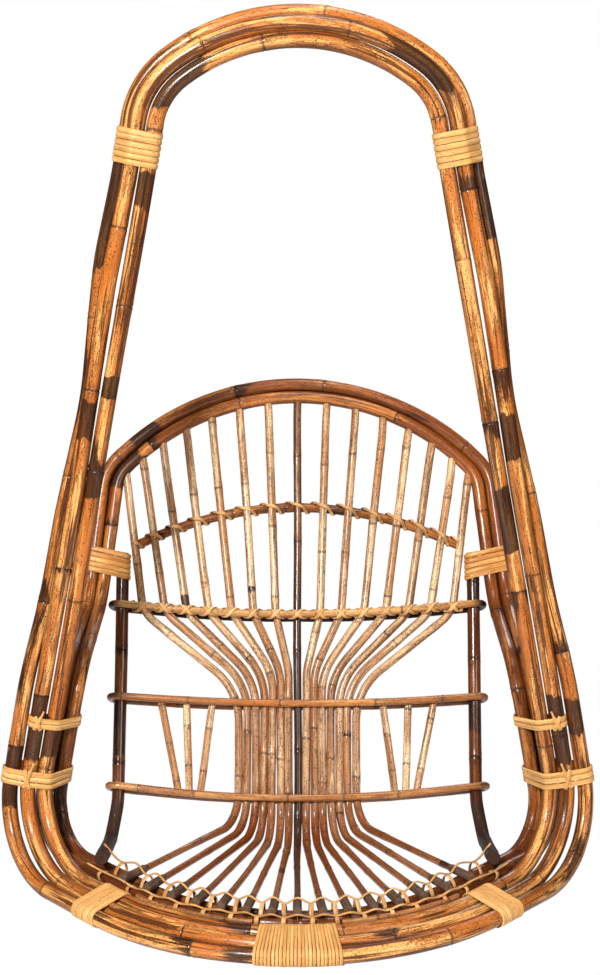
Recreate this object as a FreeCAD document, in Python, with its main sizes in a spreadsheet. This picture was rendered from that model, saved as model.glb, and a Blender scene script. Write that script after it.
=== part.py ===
import FreeCAD, Part

# Hanging cane swing chair. Frame: X to the right as seen from the front, Y to the back, Z up,
# millimetres. The origin is the saddle under the top of the hoop, where the chair hangs. Every
# cane is a round rod on straight runs joined by tangent arcs.

import math
import os

from FreeCAD import Vector

doc = FreeCAD.newDocument("cane_swing_chair")

SIZES = [
    ("hoop_cane_dia", 19.0, "thick canes of the hoop"),
    ("arch_cane_dia", 17.0, "canes of the back arch and seat ring"),
    ("spindle_dia", 10.6, "spindles of back and seat"),
    ("post_dia", 16.6, "side posts"),
    ("rail_dia", 9.4, "rails across the back"),
    ("bow_dia", 12.5, "bow behind the back"),
    ("stick_dia", 9.6, "short sticks between the waist rails"),
    ("edge_dia", 6.0, "thin edge cane on the front rim"),
    ("strip_width", 5.6, "cane strip of the bindings"),
    ("strip_thick", 1.6, "thickness of the cane strip"),
    ("strip_pitch", 6.8, "step from turn to turn of a binding"),
    ("clearance", 0.3, "space between pieces that touch"),
    ("butt_gap", 0.6, "space between the two ends of a closed cane"),
    ("arch_radius", 212.0, "underside of the hoop's top"),
    ("arch_half_angle", 36.0, "half of the hoop's top arc"),
    ("shoulder_radius", 70.0, "inside of the hoop's shoulders"),
    ("leg_lean", 10.6, "outward lean of the hoop legs"),
    ("leg_ease", 420.0, "radius of the slight bends in the legs"),
    ("hoop_outer_set", 12.4, "outer cane beyond the middle one at the top"),
    ("leg_spread", 23.0, "inner to middle cane below the shoulders"),
    ("leg_gap", 0.4, "inner to middle cane lower down, beyond touching"),
    ("part_z", -142.0, "height at which the leg canes part"),
    ("spread_z", -260.0, "height of the widest spread"),
    ("join_z", -500.0, "height at which inner and middle cane meet again"),
    ("swing_z", -240.0, "outer cane starts to swing behind"),
    ("swing_gap", 1.0, "outer cane behind the others there"),
    ("behind_z", -400.0, "outer cane stands behind the middle one"),
    ("behind_set", 1.5, "outer cane beyond the middle one there"),
    ("behind_depth", 22.5, "outer cane behind the middle one there"),
    ("cross_z", -540.0, "outer cane comes out again"),
    ("cross_set", 13.0, "outer cane beyond the middle one there"),
    ("cross_depth", 15.0, "outer cane behind the middle one there"),
    ("beside_z", -640.0, "outer cane comes forward beside the others"),
    ("beside_set", 15.0, "outer cane beyond the middle one there"),
    ("beside_depth", 13.0, "outer cane behind the middle one there"),
    ("level_z", -735.0, "outer cane lies beside the others"),
    ("settle_z", -800.0, "outer cane keeps its distance down to the rim"),
    ("tie_slot", 2.5, "space for a binding strip between two canes"),
    ("rim_level", -963.0, "height of the rim's inner cane"),
    ("rim_step", 4.0, "fall from rim cane to rim cane"),
    ("rim_front", 226.0, "reach of the rim's inner cane to the front"),
    ("rim_half_angle", 48.0, "half of the rim's front arc"),
    ("hoop_corner_radius", 105.0, "bend from leg to rim"),
    ("ring_level", -961.0, "height of the inner seat ring cane"),
    ("ring_corner_radius", 64.0, "bend from side to seat ring"),
    ("ring_corner_set", 16.0, "seat ring corners behind the legs"),
    ("ring_ease", 0.18, "extra height where a seat rod crosses the ring at a slant, of its radius"),
    ("back_lean", 22.3, "lean of the back"),
    ("back_foot_y", 107.0, "back plane meets the seat: depth"),
    ("back_foot_z", -985.0, "back plane meets the seat: height"),
    ("back_arch_top", 575.0, "underside of the back arch up the back plane"),
    ("back_arch_radius", 310.0, "underside of the back arch"),
    ("back_arch_half_angle", 45.0, "half of the back arch's top arc"),
    ("back_shoulder_radius", 42.0, "inside of the back arch's shoulders"),
    ("arm_rise", 305.0, "arm bend up the back plane"),
    ("arm_set", 27.8, "arm bend outside the side post"),
    ("arm_radius", 60.0, "bends at both ends of the arm"),
    ("arm_front_z", -735.0, "height of the arm at the legs"),
    ("arm_inset", 20.0, "arm at the legs, inside the inner hoop cane"),
    ("arm_gap", 0.6, "arm behind the legs, beyond touching"),
    ("middle_cane_share", 0.72, "how far the middle arch cane runs down beside the legs"),
    ("spindle_pitch", 10.9, "spindles side by side at the waist"),
    ("rail_fan_share", 0.642, "outermost spindle at the back rail, of the arch radius"),
    ("top_fan_share", 0.879, "spindle spacing at the arch, of the arch radius, middle"),
    ("top_fan_crowd", 0.156, "how that spacing closes up to the sides"),
    ("ring_fan_set", 42.3, "outermost spindle inside the side post at the seat ring"),
    ("seat_bend_radius", 34.0, "spindle bend from back to seat"),
    ("seat_foot", 18.0, "outer spindles bend to the seat this far up the back plane"),
    ("seat_bowl", 24.0, "how much lower the middle ones bend"),
    ("fan_fall", 101.0, "outer spindles leave the waist this far below the fan's foot"),
    ("waist_stagger", 24.0, "how much later the middle ones leave it"),
    ("waist_bend_radius", 85.0, "spindle bend above the waist"),
    ("fan_over_rail", 2.2, "spindle bend above the middle of the back rail"),
    ("fan_bend_radius", 90.0, "radius of that bend"),
    ("post_gap", 0.5, "side post outside the outermost spindle, beyond the strip's room"),
    ("post_knee_rise", 46.0, "side post bends out below this height"),
    ("post_knee_radius", 120.0, "radius of that bend"),
    ("post_foot_set", 8.0, "side post further out at its foot"),
    ("post_ring_set", 74.2, "side posts inside the seat ring's corners"),
    ("back_rail_set", 16.2, "back rail at the middle, below the arm bend"),
    ("upper_waist_set", 18.1, "upper waist rail at the middle, below the waist's top"),
    ("lower_waist_rise", 50.8, "lower waist rail at the middle"),
    ("back_rail_sag", 14.5, "fall of the back rail to the middle"),
    ("upper_waist_sag", 9.2, "fall of the upper waist rail"),
    ("lower_waist_sag", 8.0, "fall of the lower waist rail"),
    ("rail_rear_drop", 4.0, "rear run of a rail below its front run"),
    ("bow_over_rail", 147.2, "middle of the back bow above the back rail"),
    ("bow_fall", 56.0, "fall of the back bow to its ends"),
    ("stick_top_share", 0.773, "outer short stick at the upper waist rail, of its half length"),
    ("stick_top_step", 0.148, "step to the next short stick there"),
    ("stick_foot_share", 0.663, "outer short stick at the lower waist rail"),
    ("stick_foot_step", 0.059, "step to the next short stick there"),
    ("top_wrap_z", -92.0, "first turn of the top bindings"),
    ("lower_tie_rise", 107.0, "first turn of the lower ties above the seat ring"),
    ("corner_wrap_half_width", 214.0, "first turn of the corner bindings from the middle"),
    ("edge_start", 50.0, "edge canes start this far from the middle"),
    ("edge_end_angle", 44.0, "edge canes end at this angle of the rim arc"),
]

sheet = doc.addObject("Spreadsheet::Sheet", "sizes")
for row, (alias, value, note) in enumerate(SIZES, start=1):
    sheet.set(f"A{row}", str(value))
    sheet.setAlias(f"A{row}", alias)
    sheet.set(f"B{row}", note)
doc.recompute()


def size(alias):
    return float(sheet.get(alias))


clear = size("clearance")
hoop_r = size("hoop_cane_dia") / 2
arch_r = size("arch_cane_dia") / 2
spindle_r = size("spindle_dia") / 2
post_r = size("post_dia") / 2
rail_r = size("rail_dia") / 2
bow_r = size("bow_dia") / 2
stick_r = size("stick_dia") / 2
edge_r = size("edge_dia") / 2
strip_w = size("strip_width")
strip_t = size("strip_thick")
strip_pitch = size("strip_pitch")

SPINDLES_PER_SIDE = 7
parts = []


def tan(degrees):
    return math.tan(math.radians(degrees))


def sin(degrees):
    return math.sin(math.radians(degrees))


def cos(degrees):
    return math.cos(math.radians(degrees))


def mirrored(point):
    return Vector(-point.x, point.y, point.z)


def rounded_wire(corners):
    """Straight runs joined by tangent arcs. Each corner is (point, bend radius)."""
    edges = []
    here = corners[0][0]
    for (before, _), (corner, radius), (after, _) in zip(corners, corners[1:], corners[2:]):
        into = (corner - before).normalize()
        out = (after - corner).normalize()
        turn = into.getAngle(out)
        if turn < 1e-4:
            continue
        reach = radius * math.tan(turn / 2)
        start = corner - into * reach
        end = corner + out * reach
        inward = (out - into).normalize()
        middle = corner + inward * (radius / math.cos(turn / 2) - radius)
        run = (start - here).dot(into)
        if run < -1e-3:
            raise ValueError(f"a bend of {radius:.1f} mm is {-run:.2f} mm too long at {corner}")
        if run > 1e-3:
            edges.append(Part.LineSegment(here, start).toShape())
        else:
            start = here
        edges.append(Part.Arc(start, middle, end).toShape())
        here = end
    if (corners[-1][0] - here).Length > 1e-3:
        edges.append(Part.LineSegment(here, corners[-1][0]).toShape())
    return Part.Wire(edges)


def place_across(obj, wire):
    """Puts a flat section at the start of a path, square to it."""
    first = wire.OrderedEdges[0]
    start = first.valueAt(first.FirstParameter)
    along = first.tangentAt(first.FirstParameter)
    obj.Placement = FreeCAD.Placement(start, FreeCAD.Rotation(Vector(0, 0, 1), along))


def cane(label, corners, dia_alias):
    """A round cane: a circle bound to its diameter, swept along a rounded path."""
    path = doc.addObject("Part::Feature", label + "_path")
    path.Shape = rounded_wire(corners)
    section = doc.addObject("Part::Circle", label + "_section")
    section.setExpression("Radius", f"sizes.{dia_alias} / 2")
    place_across(section, path.Shape)
    rod = doc.addObject("Part::Sweep", label)
    rod.Sections = [section]
    rod.Spine = (path, [f"Edge{n + 1}" for n in range(len(path.Shape.Edges))])
    rod.Solid = True
    rod.Label = label
    return rod


def both_sides(left_half, apex):
    """A closed run: the left half from the front to the top, the top, and its mirror image."""
    right_half = [(mirrored(point), radius) for point, radius in reversed(left_half)]
    return left_half + apex + right_half


# Back plane: x across, rise up the plane from its foot, depth square to it and to the rear.

back_lean = size("back_lean")
back_up = Vector(0, sin(back_lean), cos(back_lean))
back_rear = Vector(0, cos(back_lean), -sin(back_lean))
back_foot = Vector(0, size("back_foot_y"), size("back_foot_z"))


def on_back(x, rise, depth=0.0):
    return back_foot + Vector(x, 0, 0) + back_up * rise + back_rear * depth


# Front rim and seat ring: arcs about one centre, each run on by a straight to the leg.

rim_half = size("rim_half_angle")
hoop_step = size("hoop_cane_dia") + clear
rim_plan_step = math.sqrt(hoop_step**2 - size("rim_step") ** 2)


def leg_x(z):
    """Middle of the inner hoop cane on its leg."""
    lean = size("leg_lean")
    half = size("arch_half_angle")
    arc = size("arch_radius") + hoop_r
    bend = size("shoulder_radius") + hoop_r
    end_x = arc * sin(half) + bend * (cos(lean) - sin(half))
    end_z = -size("arch_radius") + arc * cos(half) - bend * (cos(half) - sin(lean))
    return end_x + (end_z - z) * tan(lean)


rim_apex = leg_x(size("rim_level")) * tan(rim_half)
rim_radius = (rim_apex - size("rim_front")) / (1 / cos(rim_half) - 1)
rim_centre_y = rim_radius - size("rim_front")
ring_outer_radius = rim_radius - hoop_r - size("tie_slot") - arch_r
ring_inner_radius = ring_outer_radius - size("arch_cane_dia") - clear


def straight_y(radius, x):
    """Depth of a rim or ring straight at a distance x from the middle."""
    return rim_centre_y + x * tan(rim_half) - radius / cos(rim_half)


def straight_x(radius, y):
    return (y - rim_centre_y + radius / cos(rim_half)) / tan(rim_half)


def curve_y(radius, x):
    """Depth of a whole rim or ring, arc or straight."""
    if abs(x) < radius * sin(rim_half):
        return rim_centre_y - math.sqrt(radius**2 - x**2)
    return straight_y(radius, abs(x))


def front_corners(radius, z):
    """Left half of a front arc, from the butt joint in the middle."""
    front = rim_centre_y - radius
    butt = size("butt_gap") / 2
    return [
        (Vector(-butt, front, z), 0),
        (Vector(-radius * tan(rim_half / 2) - 2 * butt, front, z), radius),
    ]


# Hoop: three canes, each from the rim's middle up a leg, over the top and down again.


def leg_point(z, spread, depth):
    return Vector(-leg_x(z) - spread / cos(size("leg_lean")), depth, z)


def hoop_top(spread, depth):
    """Shoulder corner and top corner of a hoop cane that lies outside the inner one."""
    lean = size("leg_lean")
    half = size("arch_half_angle")
    arc = size("arch_radius") + hoop_r + spread
    bend = size("shoulder_radius") + hoop_r + spread
    reach = bend * tan((90 - lean - half) / 2)
    centre_z = -size("arch_radius")
    shoulder_x = -arc * sin(half) - reach * cos(half)
    shoulder_z = centre_z + arc * cos(half) - reach * sin(half)
    shoulder = Vector(shoulder_x, depth, shoulder_z)
    top = Vector(0, depth, centre_z + arc / cos(half))
    return (shoulder, bend), (top, arc)


def hoop_cane(label, order, leg_corners, spread, depth):
    radius = rim_radius + order * rim_plan_step
    level = size("rim_level") - order * size("rim_step")
    foot = leg_x(level) + order * hoop_step / cos(size("leg_lean"))
    corner = Vector(-foot, straight_y(radius, foot), level)
    left = front_corners(radius, level) + [(corner, size("hoop_corner_radius"))]
    left += [(point, size("leg_ease")) for point in leg_corners]
    shoulder, top = hoop_top(spread, depth)
    return cane(label, both_sides(left + [shoulder], [top]), "hoop_cane_dia")


def build_hoop():
    spread = size("leg_spread")
    middle_low = hoop_step + size("leg_gap")
    outer_set = size("hoop_outer_set")
    behind = math.sqrt(hoop_step**2 - outer_set**2)
    slot = hoop_step + size("tie_slot")
    middle_leg = [
        leg_point(size("join_z"), middle_low, 0),
        leg_point(size("spread_z"), spread, 0),
        leg_point(size("part_z"), hoop_step, 0),
    ]
    outer_leg = [
        leg_point(size("settle_z"), hoop_step + slot, 0),
        leg_point(size("level_z"), middle_low + slot, 0),
        leg_point(size("beside_z"), middle_low + size("beside_set"), size("beside_depth")),
        leg_point(size("cross_z"), middle_low + size("cross_set"), size("cross_depth")),
        leg_point(size("behind_z"), spread + size("behind_set"), size("behind_depth")),
        leg_point(size("swing_z"), spread + outer_set, behind + size("swing_gap")),
        leg_point(size("part_z"), hoop_step + outer_set, behind),
    ]
    parts.append(hoop_cane("hoop_cane_inner", 0, [], 0, 0))
    parts.append(hoop_cane("hoop_cane_middle", 1, middle_leg, hoop_step, 0))
    outer_spread = hoop_step + outer_set
    parts.append(hoop_cane("hoop_cane_outer", 2, outer_leg, outer_spread, behind))


# Back arch: three canes, over the back, forward as the arms, down the legs and into the seat ring.

arch_step = size("arch_cane_dia") + clear
arch_arc = size("back_arch_radius") + arch_r
arm_leg_depth = hoop_r + arch_r + clear + size("arm_gap")
arm_front = Vector(size("arm_inset") - leg_x(size("arm_front_z")), arm_leg_depth, size("arm_front_z"))
arm_rear = on_back(0, size("arm_rise"))
arm_run = Vector(0, arm_rear.y - arm_front.y, arm_rear.z - arm_front.z).normalize()


def bend_reach(into, out):
    """Length of an arm bend along each of the two runs that it joins."""
    return size("arm_radius") * math.tan(into.getAngle(out) / 2)


def arch_rise(x):
    """Middle of the inner arch cane's top arc, up the back plane, at x."""
    return size("back_arch_top") - size("back_arch_radius") + math.sqrt(arch_arc**2 - x**2)


def fan_top(share):
    """Spindle at the back arch, from the middle, for a share of the fan's half."""
    return arch_arc * (size("top_fan_share") * share - size("top_fan_crowd") * share**3)


back_rail_rise = size("arm_rise") - size("back_rail_set")
fan_foot = back_rail_rise + size("fan_over_rail")
waist_top = fan_foot - size("fan_fall")
fan_rail_half = arch_arc * size("rail_fan_share")
fan_top_half = fan_top(1)


def fan_edge(rise):
    """Outermost spindle above the back rail, from the middle."""
    share = (rise - fan_foot) / (arch_rise(fan_top_half) - fan_foot)
    return fan_rail_half + (fan_top_half - fan_rail_half) * share


SIDE_TURNS = 5
side_wrap_rise = size("arm_rise") + bend_reach(arm_run, back_up) + strip_w
post_top = side_wrap_rise + (SIDE_TURNS - 1) * strip_pitch + strip_w
post_depth = post_r - spindle_r
fan_half = max(fan_rail_half, fan_edge(post_top))
strip_room = strip_t + 2 * clear
post_apart = spindle_r + strip_room + size("post_gap") + post_r
post_half_width = fan_half + math.sqrt(post_apart**2 - post_depth**2)
arm_half_width = post_half_width + size("arm_set")


def arch_top(spread, depth):
    """Left shoulder and top of an arch cane. The shoulder leaves room for its own bend."""
    half = size("back_arch_half_angle")
    arc = arch_arc + spread
    bend = size("back_shoulder_radius") + arch_r + spread
    centre = size("back_arch_top") - size("back_arch_radius")
    turn = 90 - half
    for _ in range(8):
        reach = bend * tan(max(turn, 90 - half) / 2)
        shoulder_rise = centre + arc * cos(half) - reach * sin(half)
        shoulder_x = arc * sin(half) + reach * cos(half)
        inward = arm_half_width + spread - shoulder_x
        turn = 90 - half - math.degrees(math.atan2(inward, shoulder_rise - size("arm_rise")))
    top = on_back(0, centre + arc / cos(half), depth)
    return (on_back(-shoulder_x, shoulder_rise, depth), bend), (top, arc)


def arm_corners(spread, depth):
    """Corners of the left arm, from the leg to the back, for one cane of the three."""
    rear = arm_rear - Vector(arm_half_width, 0, 0)
    front = Vector(arm_front)
    run = arm_run
    run_rear = Vector(0, run.z, -run.y)
    at_rear = (back_rear + run_rear).normalize()
    at_front = (Vector(0, 1, 0) + run_rear).normalize()
    rear += at_rear * (depth / at_rear.dot(back_rear)) - Vector(spread, 0, 0)
    front += at_front * (depth / at_front.dot(run_rear)) - Vector(spread, 0, 0)
    bend = size("arm_radius")
    return [(front, bend), (rear, bend)]


def ring_corner(radius, level):
    depth = arm_leg_depth + size("ring_corner_set")
    return Vector(-straight_x(radius, depth), depth, level)


def ring_cane(label, radius, level, spread):
    corner = ring_corner(radius, level)
    left = front_corners(radius, level) + [(corner, size("ring_corner_radius"))]
    shoulder, top = arch_top(spread, 0)
    left += arm_corners(spread, 0) + [shoulder]
    return cane(label, both_sides(left, [top]), "arch_cane_dia")


seat_slope = (size("ring_level") - size("back_foot_z")) / (size("back_foot_y") + size("rim_front"))
ring_outer_level = size("ring_level") + arch_step * seat_slope


def build_back_arch():
    spread = arch_step / 2
    depth = arch_step * sin(60) + 2 * clear
    inner_run = (arm_corners(0, 0)[0][0], ring_corner(ring_inner_radius, size("ring_level")))
    outer_run = (arm_corners(arch_step, 0)[0][0], ring_corner(ring_outer_radius, ring_outer_level))
    share = size("middle_cane_share")
    inner_foot = inner_run[0] + (inner_run[1] - inner_run[0]) * share
    outer_foot = outer_run[0] + (outer_run[1] - outer_run[0]) * share
    foot = (inner_foot + outer_foot) * 0.5 + Vector(0, depth + 4 * clear, 0)
    left = [(foot, 0)] + arm_corners(spread, depth)
    shoulder, top = arch_top(spread, depth)
    parts.append(ring_cane("back_arch_cane_inner", ring_inner_radius, size("ring_level"), 0))
    parts.append(cane("back_arch_cane_middle", both_sides(left + [shoulder], [top]), "arch_cane_dia"))
    parts.append(ring_cane("back_arch_cane_outer", ring_outer_radius, ring_outer_level, arch_step))


post_ring_half_width = -ring_corner(ring_inner_radius, 0).x - size("post_ring_set")


# Spindles: a fan of fifteen canes from the back arch, close at the waist, open again on the seat.


def over_ring(x, rod_r):
    """Point on top of the inner seat ring for a rod of radius rod_r."""
    level = size("ring_level") + arch_r + clear + rod_r * (1 + size("ring_ease"))
    return Vector(x, curve_y(ring_inner_radius, x), level)


def over_both_rings(foot, x, rod_r):
    """End of a seat rod that runs from its foot over both seat ring canes."""
    crossing = over_ring(x, rod_r)
    ahead = (crossing - foot).normalize()
    end = crossing
    reach = ring_outer_radius + arch_r / 2
    while end.y > curve_y(reach, end.x):
        end = end + ahead * 0.5
    return end


def under_arch(foot, top, rod_r, arch_path):
    """Top of a spindle whose end clears the underside of the back arch."""
    along = (top - foot).normalize()
    near = foot
    far = top
    for _ in range(24):
        middle = (near + far) * 0.5
        rim = Part.Circle(middle, along, rod_r).toShape()
        if rim.distToShape(arch_path)[0] > arch_r + clear:
            near = middle
        else:
            far = middle
    return near


def build_spindles(arch_path):
    count = SPINDLES_PER_SIDE
    ring_half = post_ring_half_width - size("ring_fan_set")
    for order in range(-count, count + 1):
        middling = 1 - (order / count) ** 2
        waist_x = order * size("spindle_pitch")
        top_x = fan_top(order / count)
        foot = on_back(waist_x, size("seat_foot") - size("seat_bowl") * middling)
        leaves = on_back(waist_x, waist_top + size("waist_stagger") * middling)
        fans = on_back(fan_rail_half * order / count, fan_foot)
        aim = on_back(top_x, arch_rise(top_x))
        top = under_arch(fans, aim, spindle_r, arch_path)
        front = over_both_rings(foot, ring_half * order / count, spindle_r)
        corners = [
            (front, 0),
            (foot, size("seat_bend_radius")),
            (leaves, size("waist_bend_radius")),
            (fans, size("fan_bend_radius")),
            (top, 0),
        ]
        parts.append(cane(f"spindle_{order + count + 1:02d}", corners, "spindle_dia"))


# Side posts: one cane each side, down the back plane and forward over the seat ring.


def build_posts():
    for side, name in ((-1, "left"), (1, "right")):
        foot_x = side * (post_half_width + size("post_foot_set"))
        foot = on_back(foot_x, 0, post_depth)
        corners = [
            (over_both_rings(foot, side * post_ring_half_width, post_r), 0),
            (foot, size("seat_bend_radius")),
            (on_back(side * post_half_width, size("post_knee_rise"), post_depth), size("post_knee_radius")),
            (on_back(side * post_half_width, post_top, post_depth), 0),
        ]
        parts.append(cane(f"side_post_{name}", corners, "post_dia"))


# Rails: each one cane looped round both posts, with a front run and a rear run.

rail_depth = spindle_r + clear + rail_r
rail_turn = post_r + clear + rail_r
rail_out = post_half_width + rail_turn
rail_rear_depth = rail_depth + (post_depth + rail_turn - rail_depth) * rail_out / post_half_width
LOOP_EASE = 0.5
SAG_SHARE = 0.85
BOW_SHARE = 0.9
TURN_EASE = 0.02


def rail(label, middle_rise, sag):
    end_rise = middle_rise + sag
    fall = sag / (1 - SAG_SHARE / 2)
    bend = SAG_SHARE * post_half_width**2 / fall
    drop = size("rail_rear_drop")
    turn = rail_turn - LOOP_EASE
    butt = size("butt_gap") / 2
    corners = [
        (on_back(-butt, end_rise - fall - drop, rail_depth), 0),
        (on_back(-rail_out, end_rise - drop, rail_rear_depth), turn),
        (on_back(-rail_out, end_rise, -rail_depth), turn),
        (on_back(0, end_rise - fall, -rail_depth), bend),
        (on_back(rail_out, end_rise, -rail_depth), turn),
        (on_back(rail_out, end_rise - drop, rail_rear_depth), turn),
        (on_back(butt, end_rise - fall - drop, rail_depth), 0),
    ]
    return cane(label, corners, "rail_dia")


def rail_rise(middle_rise, sag, x):
    """Height of a rail at x, on the circle through its ends and middle."""
    return middle_rise + sag * (x / post_half_width) ** 2


upper_waist_rise = waist_top - size("upper_waist_set")


def build_rails():
    parts.append(rail("back_rail", back_rail_rise, size("back_rail_sag")))
    parts.append(rail("upper_waist_rail", upper_waist_rise, size("upper_waist_sag")))
    parts.append(rail("lower_waist_rail", size("lower_waist_rise"), size("lower_waist_sag")))


def build_bow():
    depth = spindle_r + clear + bow_r
    low = back_rail_rise + size("bow_over_rail") - size("bow_fall")
    half = post_half_width - post_r - strip_room - size("post_gap")
    lift = size("bow_fall") / (1 - BOW_SHARE / 2)
    bend = BOW_SHARE * math.hypot(half, lift) * half / lift
    corners = [
        (on_back(-half, low, depth), 0),
        (on_back(0, low + lift, depth), bend),
        (on_back(half, low, depth), 0),
    ]
    parts.append(cane("back_bow", corners, "bow_dia"))


STICKS_PER_SIDE = 3


def build_side_sticks():
    for side, name in ((-1, "left"), (1, "right")):
        for order in range(1, STICKS_PER_SIDE + 1):
            steps = order - 1
            top_x = post_half_width * (size("stick_top_share") - steps * size("stick_top_step"))
            foot_x = post_half_width * (size("stick_foot_share") - steps * size("stick_foot_step"))
            foot_rise = rail_rise(size("lower_waist_rise"), size("lower_waist_sag"), foot_x)
            top_rise = rail_rise(upper_waist_rise, size("upper_waist_sag"), top_x)
            depth = stick_r - spindle_r
            foot = on_back(side * foot_x, foot_rise - rail_r / 2, depth)
            top = on_back(side * top_x, top_rise + rail_r / 2, depth)
            stick = doc.addObject("Part::Cylinder", f"side_stick_{name}_{order}")
            stick.Label = f"side_stick_{name}_{order}"
            stick.setExpression("Radius", "sizes.stick_dia / 2")
            stick.Height = (top - foot).Length
            turn = FreeCAD.Rotation(Vector(0, 0, 1), top - foot)
            stick.Placement = FreeCAD.Placement(foot, turn)
            parts.append(stick)


# Edge canes: thin canes in the groove between the seat ring and the rim.


def build_edge_canes():
    to_ring = arch_r + edge_r + clear
    to_rim = hoop_r + edge_r + clear
    across = rim_radius - ring_outer_radius
    fall = ring_outer_level - size("rim_level")
    apart = math.hypot(across, fall)
    along = (to_ring**2 - to_rim**2 + apart**2) / (2 * apart)
    lift = math.sqrt(to_ring**2 - along**2)
    radius = ring_outer_radius + (along * across + lift * fall) / apart
    level = ring_outer_level + (lift * across - along * fall) / apart
    first = math.degrees(math.asin(size("edge_start") / radius))
    last = size("edge_end_angle")

    def around(angle, reach):
        return Vector(reach * sin(angle), rim_centre_y - reach * cos(angle), level)

    for side, name in ((-1, "left"), (1, "right")):
        half = (last - first) / 2
        corner = around(side * (first + half), radius / cos(half))
        corners = [
            (around(side * first, radius), 0),
            (corner, radius - TURN_EASE),
            (around(side * last, radius), 0),
        ]
        parts.append(cane(f"rim_edge_cane_{name}", corners, "edge_dia"))


# Bindings: flat cane strip wound round a bundle of canes. Each turn lies square to the bundle and
# steps on to the next turn on the side that is turned away.


BUNDLE_WIDTH = 6
WIDEST_ARC = 100
STEP_MARGIN = 0.07
STEP_BEND = 0.7


def path_of(label):
    return doc.getObject(label + "_path").Shape


def cut_by_plane(wire, origin, axis):
    """Where a cane's middle line passes a plane, nearest to the given point."""
    widest = BUNDLE_WIDTH * size("hoop_cane_dia")
    disc = Part.Face(Part.Wire(Part.Circle(origin, axis, widest).toShape()))
    points = [vertex.Point for vertex in wire.section(disc).Vertexes]
    return min(points, key=lambda point: (point - origin).Length)


def hull_normals(circles):
    """Circles on the hull in turn, each with the angles where the strip meets and leaves it."""
    steps = 1440
    order = []
    for step in range(steps):
        angle = 2 * math.pi * step / steps
        reach = [x * math.cos(angle) + y * math.sin(angle) + r for x, y, r in circles]
        best = reach.index(max(reach))
        if not order or order[-1] != best:
            order.append(best)
    if len(order) > 1 and order[0] == order[-1]:
        order.pop()
    leaves = []
    for here, after in zip(order, order[1:] + order[:1]):
        x0, y0, r0 = circles[here]
        x1, y1, r1 = circles[after]
        heading = math.atan2(y1 - y0, x1 - x0)
        apart = math.hypot(x1 - x0, y1 - y0)
        leaves.append(heading - math.acos((r0 - r1) / apart))
    return order, leaves


def turn_corners(circles, away):
    """Corners of one turn, and the two ends of its run on the side named by the angle away."""
    order, leaves = hull_normals(circles)
    count = len(order)
    step_run = min(range(count), key=lambda n: -math.cos(leaves[n] - away))
    corners = []
    for n in range(step_run + 1, step_run + 1 + count):
        x, y, r = circles[order[n % count]]
        meets = leaves[(n - 1) % count]
        turn = (leaves[n % count] - meets) % (2 * math.pi)
        pieces = math.ceil(turn / math.radians(WIDEST_ARC))
        for piece in range(pieces):
            half = turn / pieces / 2
            normal = meets + half * (2 * piece + 1)
            reach = r / math.cos(half)
            corners.append((x + reach * math.cos(normal), y + reach * math.sin(normal), r))
    ends = []
    for n in (step_run, step_run + 1):
        x, y, r = circles[order[n % count]]
        normal = leaves[step_run]
        ends.append((x + r * math.cos(normal), y + r * math.sin(normal)))
    return corners, ends


def least_gap(turns):
    """Least space between one turn of a strip and the next, from points along both."""
    least = 1e9
    for here, after in zip(turns, turns[1:]):
        for n, point in enumerate(here):
            for m in range(max(0, n - len(after) // 3), min(len(after), n + len(after) // 3)):
                least = min(least, (point - after[m]).Length)
    return least - strip_w


def winding(label, bundle, turns, plane_at, away, slack=0.0):
    """One unbroken strip round a bundle. plane_at(n) gives the middle and axis of turn n."""
    offset = clear + slack + strip_t / 2
    corners = []
    runs = []
    for n in range(turns):
        origin, axis = plane_at(n)
        across = (away - axis * away.dot(axis)).normalize()
        side = axis.cross(across)
        circles = []
        for name, radius in bundle:
            point = cut_by_plane(path_of(name), origin, axis) - origin
            circles.append((point.dot(across), point.dot(side), radius + offset))
        flat, (enters, leaves) = turn_corners(circles, 0.0)

        def lift(x, y):
            return origin + across * x + side * y

        run = lift(*leaves) - lift(*enters)
        margin = STEP_MARGIN
        if n == 0:
            corners.append((lift(*enters) + run * (1 - margin), 0))
            heading = Vector(run).normalize()
            first = (corners[0][0], heading, axis, across)
        else:
            slope = math.atan2(strip_pitch, run.Length * (1 - 2 * margin))
            bend = STEP_BEND * margin * run.Length / math.tan(slope / 2)
            corners[-1] = (corners[-1][0], bend)
            corners.append((lift(*enters) + run * (1 - margin), bend))
        corners += [(lift(x, y), radius) for x, y, radius in flat]
        corners.append((lift(*enters) + run * margin, 0))
    path = doc.addObject("Part::Feature", label + "_path")
    path.Shape = rounded_wire(corners)
    section = doc.addObject("Part::Plane", label + "_section")
    section.setExpression("Length", "sizes.strip_width")
    section.setExpression("Width", "sizes.strip_thick")
    start, heading, axis, across = first
    across = axis.cross(heading) * (1 if axis.cross(heading).dot(across) > 0 else -1)
    corner = start - axis * (strip_w / 2) - across * (strip_t / 2)
    turn = FreeCAD.Rotation(axis, across, axis.cross(across), "XYZ")
    section.Placement = FreeCAD.Placement(corner, turn)
    strip = doc.addObject("Part::Sweep", label)
    strip.Sections = [section]
    strip.Spine = (path, [f"Edge{n + 1}" for n in range(len(path.Shape.Edges))])
    strip.Solid = True
    strip.Label = label
    points = path.Shape.discretize(Distance=1.0)
    per_turn = len(points) // turns
    loops = [points[n * per_turn:(n + 1) * per_turn] for n in range(turns)]
    if turns > 1:
        print(f"{label}: {turns} turns, least gap to itself {least_gap(loops):.2f} mm")
    return strip


def pair(label, left):
    """The same binding on both sides, as one group."""
    right = doc.addObject("Part::Mirroring", label + "_mirror")
    right.Source = left
    right.Normal = Vector(1, 0, 0)
    group = doc.addObject("Part::Compound", label)
    group.Links = [left, right]
    group.Label = label
    parts.append(group)


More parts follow.
